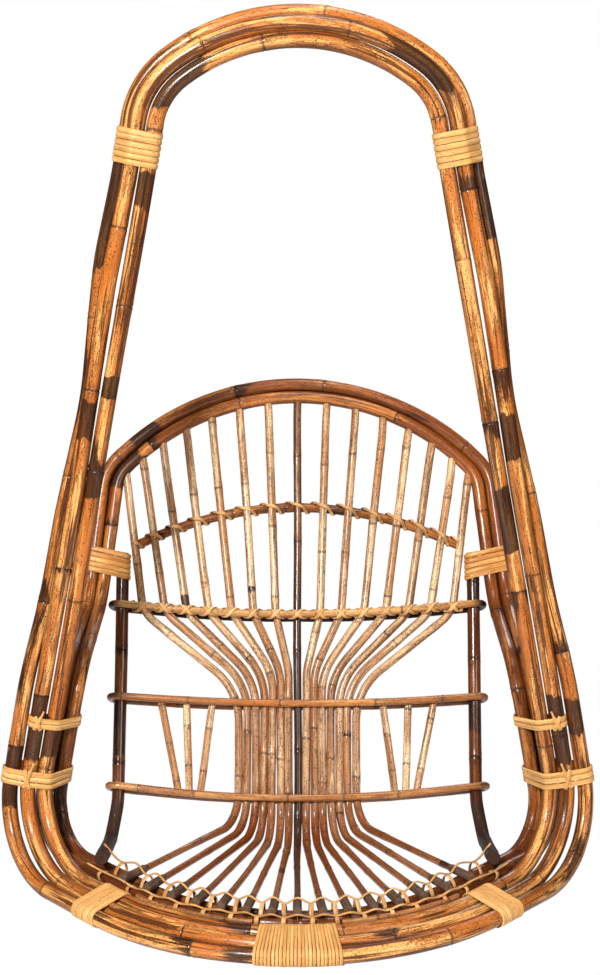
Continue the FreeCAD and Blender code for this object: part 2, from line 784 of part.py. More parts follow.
def along_line(start, axis):
    return lambda n: (start + axis * (n * strip_pitch), axis)


HOOP = [(f"hoop_cane_{place}", hoop_r) for place in ("inner", "middle", "outer")]
ARCH = [(f"back_arch_cane_{place}", arch_r) for place in ("inner", "middle", "outer")]
POST = [("side_post_left", post_r)]
TOP_TURNS = 6
UPPER_TIE_TURNS = 2
LOWER_TIE_TURNS = 3
CORNER_TURNS = 6
CENTRE_TURNS = 12

# Extra room in a binding whose canes bend or run at a slant within its width.
POST_SLANT = 0.4
ARM_SLANT = 0.8
CORNER_SLANT = 1.6


def build_bindings():
    lean = size("leg_lean")
    down_leg = Vector(-sin(lean), 0, -cos(lean))
    rear = Vector(0, 1, 0)
    outward_rear = Vector(-1, 1, 0)

    start = leg_point(size("top_wrap_z"), hoop_step, hoop_r / 2)
    pair("top_wraps", winding("top_wrap_left", HOOP, TOP_TURNS, along_line(start, down_leg), rear))

    shoulder = arch_top(0, 0)[0][0]
    arm = arm_corners(0, 0)[1][0]
    up_side = (shoulder - arm).normalize()
    start = arm + up_side * ((side_wrap_rise - size("arm_rise")) / up_side.dot(back_up))
    bundle = ARCH + POST
    planes = along_line(start, up_side)
    pair("side_wraps", winding("side_wrap_left", bundle, SIDE_TURNS, planes, back_rear, POST_SLANT))

    corner = ring_corner(ring_inner_radius, size("ring_level"))
    reach = bend_reach(arm_front - corner, arm_run)
    start = leg_point(size("arm_front_z") - reach, 0, hoop_r)
    bundle = HOOP[:2] + ARCH
    planes = along_line(start, down_leg)
    tie = winding("upper_tie_left", bundle, UPPER_TIE_TURNS, planes, outward_rear, ARM_SLANT)
    pair("upper_ties", tie)

    start = leg_point(size("ring_level") + size("lower_tie_rise"), hoop_step, hoop_r)
    planes = along_line(start, down_leg)
    bundle = HOOP + ARCH
    tie = winding("lower_tie_left", bundle, LOWER_TIE_TURNS, planes, outward_rear, CORNER_SLANT)
    pair("lower_ties", tie)

    middle_radius = rim_radius + rim_plan_step
    level = size("rim_level") - size("rim_step")
    x = size("corner_wrap_half_width")
    start = Vector(-x, straight_y(middle_radius, x), level)
    planes = along_line(start, Vector(-cos(rim_half), sin(rim_half), 0))
    below = Vector(0, 0, -1)
    pair("corner_wraps", winding("corner_wrap_left", HOOP, CORNER_TURNS, planes, below))

    step = math.degrees(strip_pitch / (rim_radius - hoop_r - strip_t))

    def round_rim(n):
        angle = (n - (CENTRE_TURNS - 1) / 2) * step
        x = middle_radius * sin(angle)
        y = rim_centre_y - middle_radius * cos(angle)
        return Vector(x, y, level), Vector(cos(angle), sin(angle), 0)

    parts.append(winding("centre_wrap", HOOP, CENTRE_TURNS, round_rim, below))


def finish():
    doc.recompute()
    os.makedirs("parts", exist_ok=True)
    for part in parts:
        state = set(part.State) & {"Invalid", "Error"}
        if state or part.Shape.isNull() or not part.Shape.isValid():
            raise RuntimeError(f"{part.Label} is not sound: {part.State}")
        part.Shape.exportStep(f"parts/{part.Label}.step")
        print(part.Label, len(part.Shape.Solids), round(part.Shape.Volume / 1000, 2))


build_hoop()
build_back_arch()
inner_arch = next(obj for obj in doc.Objects if obj.Name == "back_arch_cane_inner_path")
build_spindles(inner_arch.Shape)
build_posts()
build_rails()
build_bow()
build_side_sticks()
build_edge_canes()
build_bindings()
finish()
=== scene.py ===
"""Looks of a hanging cane swing chair: bent canes, split-cane bindings and thin lacing."""

import logging
import math
from dataclasses import dataclass, field
from enum import Enum
from typing import Callable, Iterator, Sequence

import bpy
import numpy as np
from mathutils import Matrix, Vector


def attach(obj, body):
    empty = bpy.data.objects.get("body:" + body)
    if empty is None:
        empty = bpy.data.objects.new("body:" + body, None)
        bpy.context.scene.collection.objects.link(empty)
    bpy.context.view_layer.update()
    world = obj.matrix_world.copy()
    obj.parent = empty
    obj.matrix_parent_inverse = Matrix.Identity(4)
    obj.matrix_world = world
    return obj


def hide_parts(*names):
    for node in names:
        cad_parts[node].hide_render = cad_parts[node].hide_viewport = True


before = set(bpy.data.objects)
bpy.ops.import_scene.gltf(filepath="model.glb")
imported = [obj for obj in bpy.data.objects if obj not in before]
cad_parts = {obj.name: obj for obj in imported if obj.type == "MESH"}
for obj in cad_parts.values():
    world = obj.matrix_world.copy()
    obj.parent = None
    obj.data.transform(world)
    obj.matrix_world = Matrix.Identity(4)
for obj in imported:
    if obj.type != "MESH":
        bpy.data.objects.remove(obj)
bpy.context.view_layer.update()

LOG = logging.getLogger("cane_swing_chair")
MM = 0.001
BODY = "root"
TINY = 1e-9

# Largest start of a random wave, and the shift of a strand's grain from one seed to the next
PHASE = 6.3
LACE_SHIFT = 1.7

# Section of a split-cane strip, in shares of its width and thickness
STRIP_LEFT = ((-0.5, 0.12), (-0.47, 0.62), (-0.36, 0.86))
STRIP_RIGHT = ((0.36, 0.86), (0.47, 0.62), (0.5, 0.12))
STRIP_PROFILE = np.array((*STRIP_LEFT, (0.0, 1.0), *STRIP_RIGHT, (0.4, 0.0), (-0.4, 0.0)))

# Marks that each cane carries along its length; the stain mark holds real stain and also painted shade
MARKS = ("ring", "tone", "stain", "bark", "marked")

Corner = tuple[Vector, float]
Colour = tuple[float, float, float]
Plane = tuple[Vector, Vector]
Rule = Callable[[np.ndarray], np.ndarray]


class Slot(Enum):
    """Material slots of the record."""

    LACQUERED = "cane_lacquered"
    PALE = "cane_pale"
    DARK = "cane_dark"
    STRIP = "cane_strip"


class Side(Enum):
    """The two mirror halves of the chair."""

    LEFT = -1
    RIGHT = 1


class Place(Enum):
    """The three canes of the hoop, or of the back arch."""

    INNER = "inner"
    MIDDLE = "middle"
    OUTER = "outer"


def mirrored(values: np.ndarray) -> np.ndarray:
    """Points or directions of the left side, turned into those of the right."""
    return values * (-1, 1, 1)


def stacked(vectors: Sequence[Vector]) -> np.ndarray:
    """Vectors as the rows of one array."""
    return np.array([tuple(vector) for vector in vectors])


def sin(degrees: float) -> float:
    """Sine of an angle in degrees."""
    return math.sin(math.radians(degrees))


def cos(degrees: float) -> float:
    """Cosine of an angle in degrees."""
    return math.cos(math.radians(degrees))


def tan(degrees: float) -> float:
    """Tangent of an angle in degrees."""
    return math.tan(math.radians(degrees))


def ease(value: np.ndarray, start: float, end: float) -> np.ndarray:
    """Smooth step from 0 at start to 1 at end.

    Args:
        value: Where the step is read.
        start: Where it is still 0.
        end: Where it has reached 1.

    Returns:
        The step, in the shape of value.
    """
    t = np.clip((value - start) / (end - start), 0.0, 1.0)
    return t * t * (3 - 2 * t)


# Shader wiring


@dataclass(frozen=True)
class Grain:
    """Soft noise over the straightened cane: repeats per metre, fineness, and the span that is used."""

    along: float
    across: float
    detail: float
    rough: float
    low: float = 0.0
    high: float = 1.0


class Wiring:
    """Adds nodes to one shader tree and joins them."""

    def __init__(self, tree: bpy.types.NodeTree) -> None:
        """Starts on an empty tree.

        Args:
            tree: The tree of a material or of a group.
        """
        self.tree = tree
        tree.nodes.clear()

    def add(self, kind: str, sockets: dict | None = None, **settings: object) -> bpy.types.Node:
        """Adds one node.

        Args:
            kind: Blender's node type.
            sockets: Values or joined sockets by input name or index.
            settings: Properties of the node.

        Returns:
            The new node.
        """
        node = self.tree.nodes.new(kind)
        for name, value in settings.items():
            setattr(node, name, value)
        for name, value in (sockets or {}).items():
            if isinstance(value, bpy.types.NodeSocket):
                self.tree.links.new(value, node.inputs[name])
            else:
                node.inputs[name].default_value = value
        return node

    def math(self, operation: str, first: object, second: object = 0.0) -> bpy.types.NodeSocket:
        """Arithmetic on two values, held between 0 and 1."""
        node = self.add("ShaderNodeMath", {0: first, 1: second}, operation=operation, use_clamp=True)
        return node.outputs[0]

    def plain(self, operation: str, *values: object) -> bpy.types.NodeSocket:
        """Arithmetic on up to three values, not held to a span."""
        return self.add("ShaderNodeMath", dict(enumerate(values)), operation=operation).outputs[0]

    def mix(self, share: object, first: object, second: object) -> bpy.types.NodeSocket:
        """Colour between two colours."""
        sockets = {0: share, 6: first, 7: second}
        return self.add("ShaderNodeMix", sockets, data_type="RGBA").outputs[2]

    def span(self, value: object, low: object, high: object, to: tuple = (0.0, 1.0)) -> bpy.types.NodeSocket:
        """Value stretched from low to high onto the span to."""
        sockets = {0: value, 1: low, 2: high, 3: to[0], 4: to[1]}
        return self.add("ShaderNodeMapRange", sockets).outputs[0]

    def mark(self, name: str) -> bpy.types.NodeSocket:
        """A mark that the cane carries."""
        return self.add("ShaderNodeAttribute", attribute_name=name).outputs["Fac"]

    def noise(self, cane: object, grain: Grain) -> bpy.types.NodeSocket:
        """A grain's noise.

        Args:
            cane: The cane's coordinates.
            grain: The grain.

        Returns:
            The noise, from 0 to 1.
        """
        density = (grain.along, grain.across, grain.across)
        spread = self.add("ShaderNodeVectorMath", {0: cane, 1: density}, operation="MULTIPLY").outputs[0]
        sockets = {"Vector": spread, "Scale": 1.0, "Detail": grain.detail, "Roughness": grain.rough}
        return self.add("ShaderNodeTexNoise", sockets).outputs[0]

    def layer(self, cane: object, grain: Grain) -> bpy.types.NodeSocket:
        """A grain's noise, with its span stretched to the whole of 0 to 1."""
        return self.span(self.noise(cane, grain), grain.low, grain.high)

    def finish(self, out: bpy.types.Node, values: dict[str, bpy.types.NodeSocket]) -> bpy.types.NodeTree:
        """Joins a group's values to its outputs.

        Args:
            out: The group's output node.
            values: The values by output name.

        Returns:
            The finished group.
        """
        for title, value in values.items():
            self.tree.links.new(value, out.inputs[title])
        return self.tree


def new_group(
    name: str, inputs: dict[str, str], outputs: Sequence[str]
) -> tuple[Wiring, bpy.types.Node, bpy.types.Node]:
    """Starts a shader node group.

    Args:
        name: Name of the group.
        inputs: Socket kind, Float or Vector, by input name.
        outputs: Names of the value outputs.

    Returns:
        The wiring, the input node and the output node.
    """
    group = bpy.data.node_groups.new(name, "ShaderNodeTree")
    for title, kind in inputs.items():
        group.interface.new_socket(name=title, in_out="INPUT", socket_type="NodeSocket" + kind)
    for title in outputs:
        group.interface.new_socket(name=title, in_out="OUTPUT", socket_type="NodeSocketFloat")
    wiring = Wiring(group)
    return wiring, wiring.add("NodeGroupInput"), wiring.add("NodeGroupOutput")


class CaneEffects:
    """Shader groups that the cane finishes share. All read the straightened cane's coordinates."""

    FIBRE = Grain(26.0, 900.0, 2.0, 0.6, 0.3, 0.7)
    STREAK = Grain(5.0, 190.0, 4.0, 0.65, 0.525, 0.575)
    RUST = Grain(7.0, 105.0, 3.0, 0.55, 0.50, 0.64)
    MOTTLE = Grain(48.0, 190.0, 4.0, 0.65, 0.32, 0.68)
    CLOUD = Grain(9.0, 105.0, 5.0, 0.64)
    SLOW_BURN = Grain(7.5, 30.0, 2.0, 0.5)
    RAGGED_BURN = Grain(24.0, 260.0, 4.0, 0.7)
    ASH = Grain(15.0, 280.0, 4.0, 0.7, 0.46, 0.64)
    FINE_SPECKS = Grain(420.0, 900.0, 2.0, 0.5)
    SPECK_FIELDS = Grain(22.0, 60.0, 2.0, 0.5)
    ISLAND = (0.50, 0.63)
    ISLAND_EDGE = 0.565
    EDGE = (0.022, 0.004)
    SHARP = 0.05
    TONE_SHIFT = 0.15
    RAGGED = 0.42
    MARKED = 0.55
    NO_BURN = 1.02
    NO_SPECKS = 0.80
    CLUSTERED = 0.22
    RAISED = 0.45
    SUNK_SPECKS = 0.35
    SUNK_RING = 0.4

    def __init__(self) -> None:
        """Builds each group once."""
        self.fibre = self._fibre()
        self.scorch = self._scorch()
        self.specks = self._specks()
        self.relief = self._relief()

    def _fibre(self) -> bpy.types.NodeTree:
        """Long fibres, dark streaks, and pale islands of skin with dark ragged edges.

        Returns:
            The group.
        """
        outputs = ("Fibre", "Streak", "Island", "Edge", "Rust", "Mottle")
        w, given, out = new_group("cane_fibre", {"Cane": "Vector", "Tone": "Float"}, outputs)
        cane = given.outputs["Cane"]
        shift = w.plain("MULTIPLY_ADD", given.outputs["Tone"], self.TONE_SHIFT, w.noise(cane, self.CLOUD))
        depth = w.plain("ABSOLUTE", w.plain("SUBTRACT", shift, self.ISLAND_EDGE))
        values = {
            "Fibre": w.layer(cane, self.FIBRE),
            "Streak": w.layer(cane, self.STREAK),
            "Island": w.span(shift, *self.ISLAND),
            "Edge": w.span(depth, *self.EDGE),
            "Rust": w.layer(cane, self.RUST),
            "Mottle": w.layer(cane, self.MOTTLE),
        }
        return w.finish(out, values)

    def _scorch(self) -> bpy.types.NodeTree:
        """Burnt patches with ragged ends across the cane.

        Returns:
            The group.
        """
        inputs = {"Cane": "Vector", "Amount": "Float", "Marked": "Float"}
        w, given, out = new_group("cane_scorch", inputs, ("Patch", "Ash"))
        cane = given.outputs["Cane"]
        slow = w.noise(cane, self.SLOW_BURN)
        rise = w.plain("MULTIPLY_ADD", w.noise(cane, self.RAGGED_BURN), self.RAGGED, slow)
        marked = w.plain("MULTIPLY_ADD", given.outputs["Marked"], self.MARKED, rise)
        level = w.plain("SUBTRACT", self.NO_BURN, given.outputs["Amount"])
        patch = w.span(w.plain("SUBTRACT", marked, level), 0.0, self.SHARP)
        return w.finish(out, {"Patch": patch, "Ash": w.layer(cane, self.ASH)})

    def _specks(self) -> bpy.types.NodeTree:
        """Small dark specks and pits in the skin of the cane.

        Returns:
            The group.
        """
        w, given, out = new_group("cane_specks", {"Cane": "Vector", "Amount": "Float"}, ("Specks",))
        cane = given.outputs["Cane"]
        fine = w.noise(cane, self.FINE_SPECKS)
        where = w.noise(cane, self.SPECK_FIELDS)
        level = w.plain("SUBTRACT", self.NO_SPECKS, given.outputs["Amount"])
        above = w.plain("SUBTRACT", w.plain("MULTIPLY_ADD", where, self.CLUSTERED, fine), level)
        return w.finish(out, {"Specks": w.span(above, 0.0, self.SHARP)})

    def _relief(self) -> bpy.types.NodeTree:
        """Height of the skin: raised fibres, sunk specks and rings.

        Returns:
            The group.
        """
        inputs = {"Fibre": "Float", "Specks": "Float", "Ring": "Float"}
        w, given, out = new_group("cane_relief", inputs, ("Height",))
        raised = w.plain("MULTIPLY_ADD", given.outputs["Fibre"], self.RAISED, self.RAISED)
        sunk = w.math("MULTIPLY", given.outputs["Specks"], self.SUNK_SPECKS)
        ring = w.math("MULTIPLY", given.outputs["Ring"], self.SUNK_RING)
        return w.finish(out, {"Height": w.math("SUBTRACT", w.math("SUBTRACT", raised, sunk), ring)})


@dataclass(frozen=True)
class CaneFinish:
    """A lacquered cane: tones from light to burnt, and how strongly each mark shows."""

    name: str
    slot: Slot
    light: Colour
    deep: Colour
    burnt: Colour = (0.018, 0.007, 0.004)
    brown: Colour = (0.105, 0.032, 0.009)
    # Colour of the stain mark: real stain, and painted shade where the mark carries it
    stain: Colour = (0.090, 0.020, 0.007)
    bark: Colour = (0.210, 0.125, 0.080)
    rust: Colour = (0.560, 0.150, 0.014)
    scorch: float = 0.12
    specks: float = 0.10
    streaks: float = 0.75
    edges: float = 0.7
    rusty: float = 0.55
    mottle: float = 0.34
    shine: float = 0.20
    gloss: tuple[float, float] = (0.20, 0.38)
    coat: float = 0.16
    relief: float = 0.25
    skin: float = 0.0006
    stained: float = 0.92
    dotted: float = 0.8
    blotched: float = 0.6
    worn: float = 0.6
    coat_rough: float = 0.12
    barked: bool = False
    bark_fibre: float = 0.75
    bark_rough: float = 0.62
    bark_shine: float = 0.25

    def material(self, effects: CaneEffects) -> bpy.types.Material:
        """Builds the finish as a node material.

        Args:
            effects: The shared shader groups.

        Returns:
            The new material.
        """
        material = bpy.data.materials.new(self.name)
        material.use_nodes = True
        w = Wiring(material.node_tree)
        cane = w.add("ShaderNodeAttribute", attribute_name="cane").outputs["Vector"]
        ring = w.mark("ring")
        given = {"Cane": cane, "Tone": w.mark("tone")}
        fibre = w.add("ShaderNodeGroup", given, node_tree=effects.fibre)
        given = {"Cane": cane, "Amount": self.scorch, "Marked": w.mark("marked")}
        scorch = w.add("ShaderNodeGroup", given, node_tree=effects.scorch)
        specks = w.add("ShaderNodeGroup", {"Cane": cane, "Amount": self.specks}, node_tree=effects.specks)
        given = {"Fibre": fibre.outputs["Fibre"], "Specks": specks.outputs["Specks"], "Ring": ring}
        relief = w.add("ShaderNodeGroup", given, node_tree=effects.relief)

        burnt, brown = (*self.burnt, 1), (*self.brown, 1)
        fibres, island = fibre.outputs["Fibre"], fibre.outputs["Island"]
        ashes = w.mix(scorch.outputs["Ash"], burnt, brown)
        coats = [
            (w.math("MULTIPLY", fibre.outputs["Rust"], self.rusty), (*self.rust, 1)),
            (w.math("MULTIPLY", fibre.outputs["Edge"], self.edges), brown),
            (w.math("MULTIPLY", fibre.outputs["Streak"], self.streaks), brown),
            # Stain mark: real stain, and painted shade on cane sides, the seat ring and the rails' rear runs
            (w.math("MULTIPLY", w.mark("stain"), self.stained), (*self.stain, 1)),
            (w.math("MULTIPLY", scorch.outputs["Patch"], self.stained), ashes),
        ]
        shine, coat = self.shine, self.coat
        bare = w.math("MULTIPLY", island, self.worn)
        if self.barked:
            bark = w.mark("bark")
            rind = w.mix(w.math("MULTIPLY", fibres, self.bark_fibre), (*self.bark, 1), burnt)
            coats.append((bark, rind))
            shine = w.math("MULTIPLY", w.span(bark, 0.0, 1.0, (1.0, self.bark_shine)), self.shine)
            coat = w.math("MULTIPLY", w.math("SUBTRACT", 1.0, bark), self.coat)
            worn = w.math("ADD", bare, w.math("MULTIPLY", bark, self.worn))
            least = w.math("MULTIPLY", bark, self.bark_rough)
            rough = w.math("MAXIMUM", w.span(worn, 0.0, 1.0, self.gloss), least)
        else:
            rough = w.span(bare, 0.0, 1.0, self.gloss)
        coats.append((w.math("MULTIPLY", specks.outputs["Specks"], self.dotted), burnt))
        coats.append((w.math("MULTIPLY", ring, self.dotted), burnt))
        colour = w.mix(island, (*self.light, 1), (*self.deep, 1))
        for share, over in coats:
            colour = w.mix(share, colour, over)
        fine = w.math("MULTIPLY", fibres, 1 - self.blotched)
        both = w.plain("MULTIPLY_ADD", fibre.outputs["Mottle"], self.blotched, fine)
        value = w.span(both, 0.0, 1.0, (1 - self.mottle, 1 + self.mottle / 2))
        colour = w.add("ShaderNodeHueSaturation", {"Value": value, "Color": colour}).outputs[0]
        height = {"Strength": self.relief, "Distance": self.skin, "Height": relief.outputs["Height"]}
        sockets = {
            "Base Color": colour,
            "Roughness": rough,
            "Normal": w.add("ShaderNodeBump", height).outputs[0],
            "Specular IOR Level": shine,
            "Coat Weight": coat,
            "Coat Roughness": self.coat_rough,
        }
        shader = w.add("ShaderNodeBsdfPrincipled", sockets)
        w.add("ShaderNodeOutputMaterial", {"Surface": shader.outputs[0]})
        return material


HOOP_GOLD = CaneFinish(
    "hoop_gold", Slot.LACQUERED, (0.90, 0.430, 0.128), (0.50, 0.146, 0.026), scorch=0.17, streaks=0.95
)
ARCH_BROWN = CaneFinish(
    "arch_brown", Slot.LACQUERED, (0.55, 0.200, 0.050), (0.23, 0.058, 0.012), scorch=0.15, rusty=0.45
)
SPINDLE_PALE = CaneFinish(
    "spindle_pale", Slot.PALE, (0.86, 0.560, 0.295), (0.53, 0.240, 0.090), brown=(0.16, 0.055, 0.018),
    rust=(0.58, 0.25, 0.08), stain=(0.215, 0.045, 0.006), scorch=0.08, streaks=0.6, edges=0.6, rusty=0.35,
    specks=0.12, mottle=0.34, coat=0.25, barked=True,
)
POST_DARK = CaneFinish(
    "post_dark", Slot.DARK, (0.34, 0.105, 0.022), (0.15, 0.038, 0.009), stain=(0.058, 0.013, 0.004),
    bark=(0.064, 0.036, 0.024), scorch=0.16, gloss=(0.14, 0.30), coat=0.4, barked=True,
)
CENTRE_DARK = CaneFinish(
    "centre_dark", Slot.DARK, (0.36, 0.185, 0.095), (0.16, 0.070, 0.034), stain=(0.034, 0.015, 0.009),
    scorch=0.14, mottle=0.5, coat=0.3, barked=True,
)
BOW_BROWN = CaneFinish(
    "bow_brown", Slot.DARK, (0.44, 0.160, 0.038), (0.17, 0.046, 0.010), scorch=0.22, rusty=0.4
)
EDGE_TAN = CaneFinish(
    "edge_tan", Slot.LACQUERED, (0.66, 0.330, 0.130), (0.44, 0.170, 0.055), scorch=0.04, streaks=0.5,
    edges=0.4, rusty=0.4,
)
# Its near-black stain colour is the painted shade on the back rail's turns and rear run
RAIL_STRAW = CaneFinish(
    "rail_straw", Slot.LACQUERED, (0.76, 0.420, 0.155), (0.54, 0.240, 0.070), stain=(0.030, 0.008, 0.003),
    scorch=0.0, streaks=0.3, edges=0.2, rusty=0.3,
)
RAIL_TAN = CaneFinish(
    "rail_tan", Slot.LACQUERED, (0.60, 0.265, 0.082), (0.40, 0.140, 0.034), scorch=0.06, streaks=0.5,
    edges=0.4, rusty=0.45, gloss=(0.16, 0.32), coat=0.5,
)
STRIP_STRAW = CaneFinish(
    "strip_straw", Slot.STRIP, (0.90, 0.560, 0.215), (0.76, 0.385, 0.115), brown=(0.40, 0.16, 0.04),
    rust=(0.70, 0.30, 0.07), scorch=0.0, specks=0.05, streaks=0.35, edges=0.2, rusty=0.3,
    gloss=(0.34, 0.55), coat=0.1, relief=0.5,
)
STRIP_ORANGE = CaneFinish(
    "strip_orange", Slot.STRIP, (0.74, 0.360, 0.095), (0.56, 0.220, 0.045), brown=(0.26, 0.09, 0.02),
    rust=(0.60, 0.20, 0.03), scorch=0.0, specks=0.06, streaks=0.4, edges=0.2, rusty=0.4,
    gloss=(0.30, 0.50), coat=0.15, relief=0.5,
)
LACE_STRAW = CaneFinish(
    "lace_straw", Slot.STRIP, (0.84, 0.510, 0.220), (0.66, 0.330, 0.110), brown=(0.24, 0.09, 0.02),
    rust=(0.60, 0.24, 0.05), scorch=0.0, specks=0.04, streaks=0.35, edges=0.2, rusty=0.3,
    gloss=(0.34, 0.55), coat=0.1, relief=0.4,
)


# Middle lines


class BentPath:
    """Middle line of a cane: straight runs joined by tangent arcs, in millimetres."""

    GRAIN = 1.0
    SMALL = 1e-4

    def __init__(self, corners: Sequence[Corner]) -> None:
        """Rounds the corners and samples the line.

        Args:
            corners: Points with their bend radius; the ends have none.
        """
        points = [np.array(corners[0][0])]
        for (before, _), (corner, radius), (after, _) in zip(corners, corners[1:], corners[2:]):
            into = (corner - before).normalized()
            out = (after - corner).normalized()
            turn = into.angle(out)
            if turn < self.SMALL:
                continue
            reach = radius * math.tan(turn / 2)
            start = corner - into * reach
            centre = corner + (out - into).normalized() * (radius / math.cos(turn / 2))
            spoke = start - centre
            count = max(2, int(radius * turn / self.GRAIN))
            for n in range(count + 1):
                angle = turn * n / count
                point = centre + spoke * math.cos(angle) + into * (radius * math.sin(angle))
                points.append(np.array(point))
        points.append(np.array(corners[-1][0]))
        dense = np.array(points)
        keep = np.r_[True, np.linalg.norm(np.diff(dense, axis=0), axis=1) > self.SMALL]
        self.points = dense[keep]
        steps = np.linalg.norm(np.diff(self.points, axis=0), axis=1)
        self.lengths = np.r_[0.0, np.cumsum(steps)]
        self.total = float(self.lengths[-1])

    def at(self, lengths: np.ndarray) -> np.ndarray:
        """Points at the given lengths along the line."""
        return np.stack([np.interp(lengths, self.lengths, self.points[:, n]) for n in range(3)], axis=1)

    def cut(self, origin: Vector, axis: Vector) -> Vector:
        """Where the line passes a plane.

        Args:
            origin: A point of the plane.
            axis: The plane's normal.

        Returns:
            The passage nearest to the origin.
        """
        side = (self.points - np.array(origin)) @ np.array(axis)
        found = np.nonzero(side[:-1] * side[1:] <= 0)[0]
        best = None
        for n in found:
            share = side[n] / (side[n] - side[n + 1] + 1e-12)
            point = Vector(self.points[n] + (self.points[n + 1] - self.points[n]) * share)
            if best is None or (point - origin).length < (best - origin).length:
                best = point
        if best is None:
            raise ValueError(f"no cane passes the plane at {origin}")
        return best

    def nearest_length(self, point: Vector) -> float:
        """Length at which the line comes nearest to a point."""
        return float(self.lengths[np.argmin(np.linalg.norm(self.points - np.array(point), axis=1))])


def carried_frames(points: np.ndarray) -> tuple[np.ndarray, np.ndarray]:
    """Two directions square to a line that turn with it and don't twist.

    Args:
        points: Points along the line.

    Returns:
        The two directions at each point.
    """
    run = np.gradient(points, axis=0)
    run /= np.linalg.norm(run, axis=1)[:, None]
    first = np.zeros_like(run)
    start = np.cross(run[0], (1.0, 0.3, 0.2))
    first[0] = start / np.linalg.norm(start)
    for n in range(1, len(run)):
        side = first[n - 1] - run[n] * (first[n - 1] @ run[n])
        first[n] = side / np.linalg.norm(side)
    return first, np.cross(run, first)


def loft(
    name: str, rows: np.ndarray, cane: np.ndarray, marks: dict[str, object], joined: bool
) -> bpy.types.Object:
    """Skin over rows of points, each row a closed loop.

    Args:
        name: Name of the piece.
        rows: Points by row and place in the row, in millimetres.
        cane: Straightened coordinates of the same points, in metres.
        marks: Named values by row and place, or one value for all.
        joined: Whether the last row joins the first one.

    Returns:
        The new object, linked to the scene.
    """
    count, around = rows.shape[:2]
    index = np.arange(count * around).reshape(count, around)
    top = np.roll(index, -1, axis=0) if joined else index[1:]
    low = index if joined else index[:-1]
    quads = np.stack([low, np.roll(low, -1, axis=1), np.roll(top, -1, axis=1), top], axis=-1)
    faces = quads.reshape(-1, 4).tolist()
    if not joined:
        faces += [index[0][::-1].tolist(), index[-1].tolist()]
    mesh = bpy.data.meshes.new(name)
    mesh.from_pydata((rows.reshape(-1, 3) * MM).tolist(), [], faces)
    mesh.polygons.foreach_set("use_smooth", [len(face) == 4 for face in faces])
    layer = mesh.attributes.new("cane", "FLOAT_VECTOR", "POINT")
    layer.data.foreach_set("vector", cane.reshape(-1).astype(np.float32))
    for title in MARKS:
        value = np.broadcast_to(np.asarray(marks.get(title, 0.0), float), (count, around))
        layer = mesh.attributes.new(title, "FLOAT", "POINT")
        layer.data.foreach_set("value", np.ascontiguousarray(value).reshape(-1).astype(np.float32))
    mesh.update()
    piece = bpy.data.objects.new(name, mesh)
    bpy.context.scene.collection.objects.link(piece)
    return piece


class Workshop:
    """Finishes that are ready to use."""

    def __init__(self) -> None:
        """Builds the shared effects."""
        self.effects = CaneEffects()
        self.ready: dict[str, bpy.types.Material] = {}

    def material(self, finish: CaneFinish) -> bpy.types.Material:
        """The finish as a material, built on first use.

        Args:
            finish: The finish.

        Returns:
            Its material.
        """
        if finish.name not in self.ready:
            self.ready[finish.name] = finish.material(self.effects)
        return self.ready[finish.name]

    def dress(self, piece: bpy.types.Object, finish: CaneFinish, *nodes: str) -> None:
        """Gives a piece its finish and its place in the frame.

        Args:
            piece: The new piece.
            finish: Its finish.
            nodes: CAD nodes that it stands for.
        """
        piece.data.materials.append(self.material(finish))
        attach(piece, BODY)
        if nodes:
            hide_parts(*nodes)
        LOG.info("%s: %d faces", piece.name, len(piece.data.polygons))


def wave(lengths: np.ndarray, spans: tuple[float, float], chance: np.random.Generator) -> np.ndarray:
    """A sine along a cane, of random length and shift."""
    return np.sin(lengths / chance.uniform(*spans) + chance.uniform(0, PHASE))


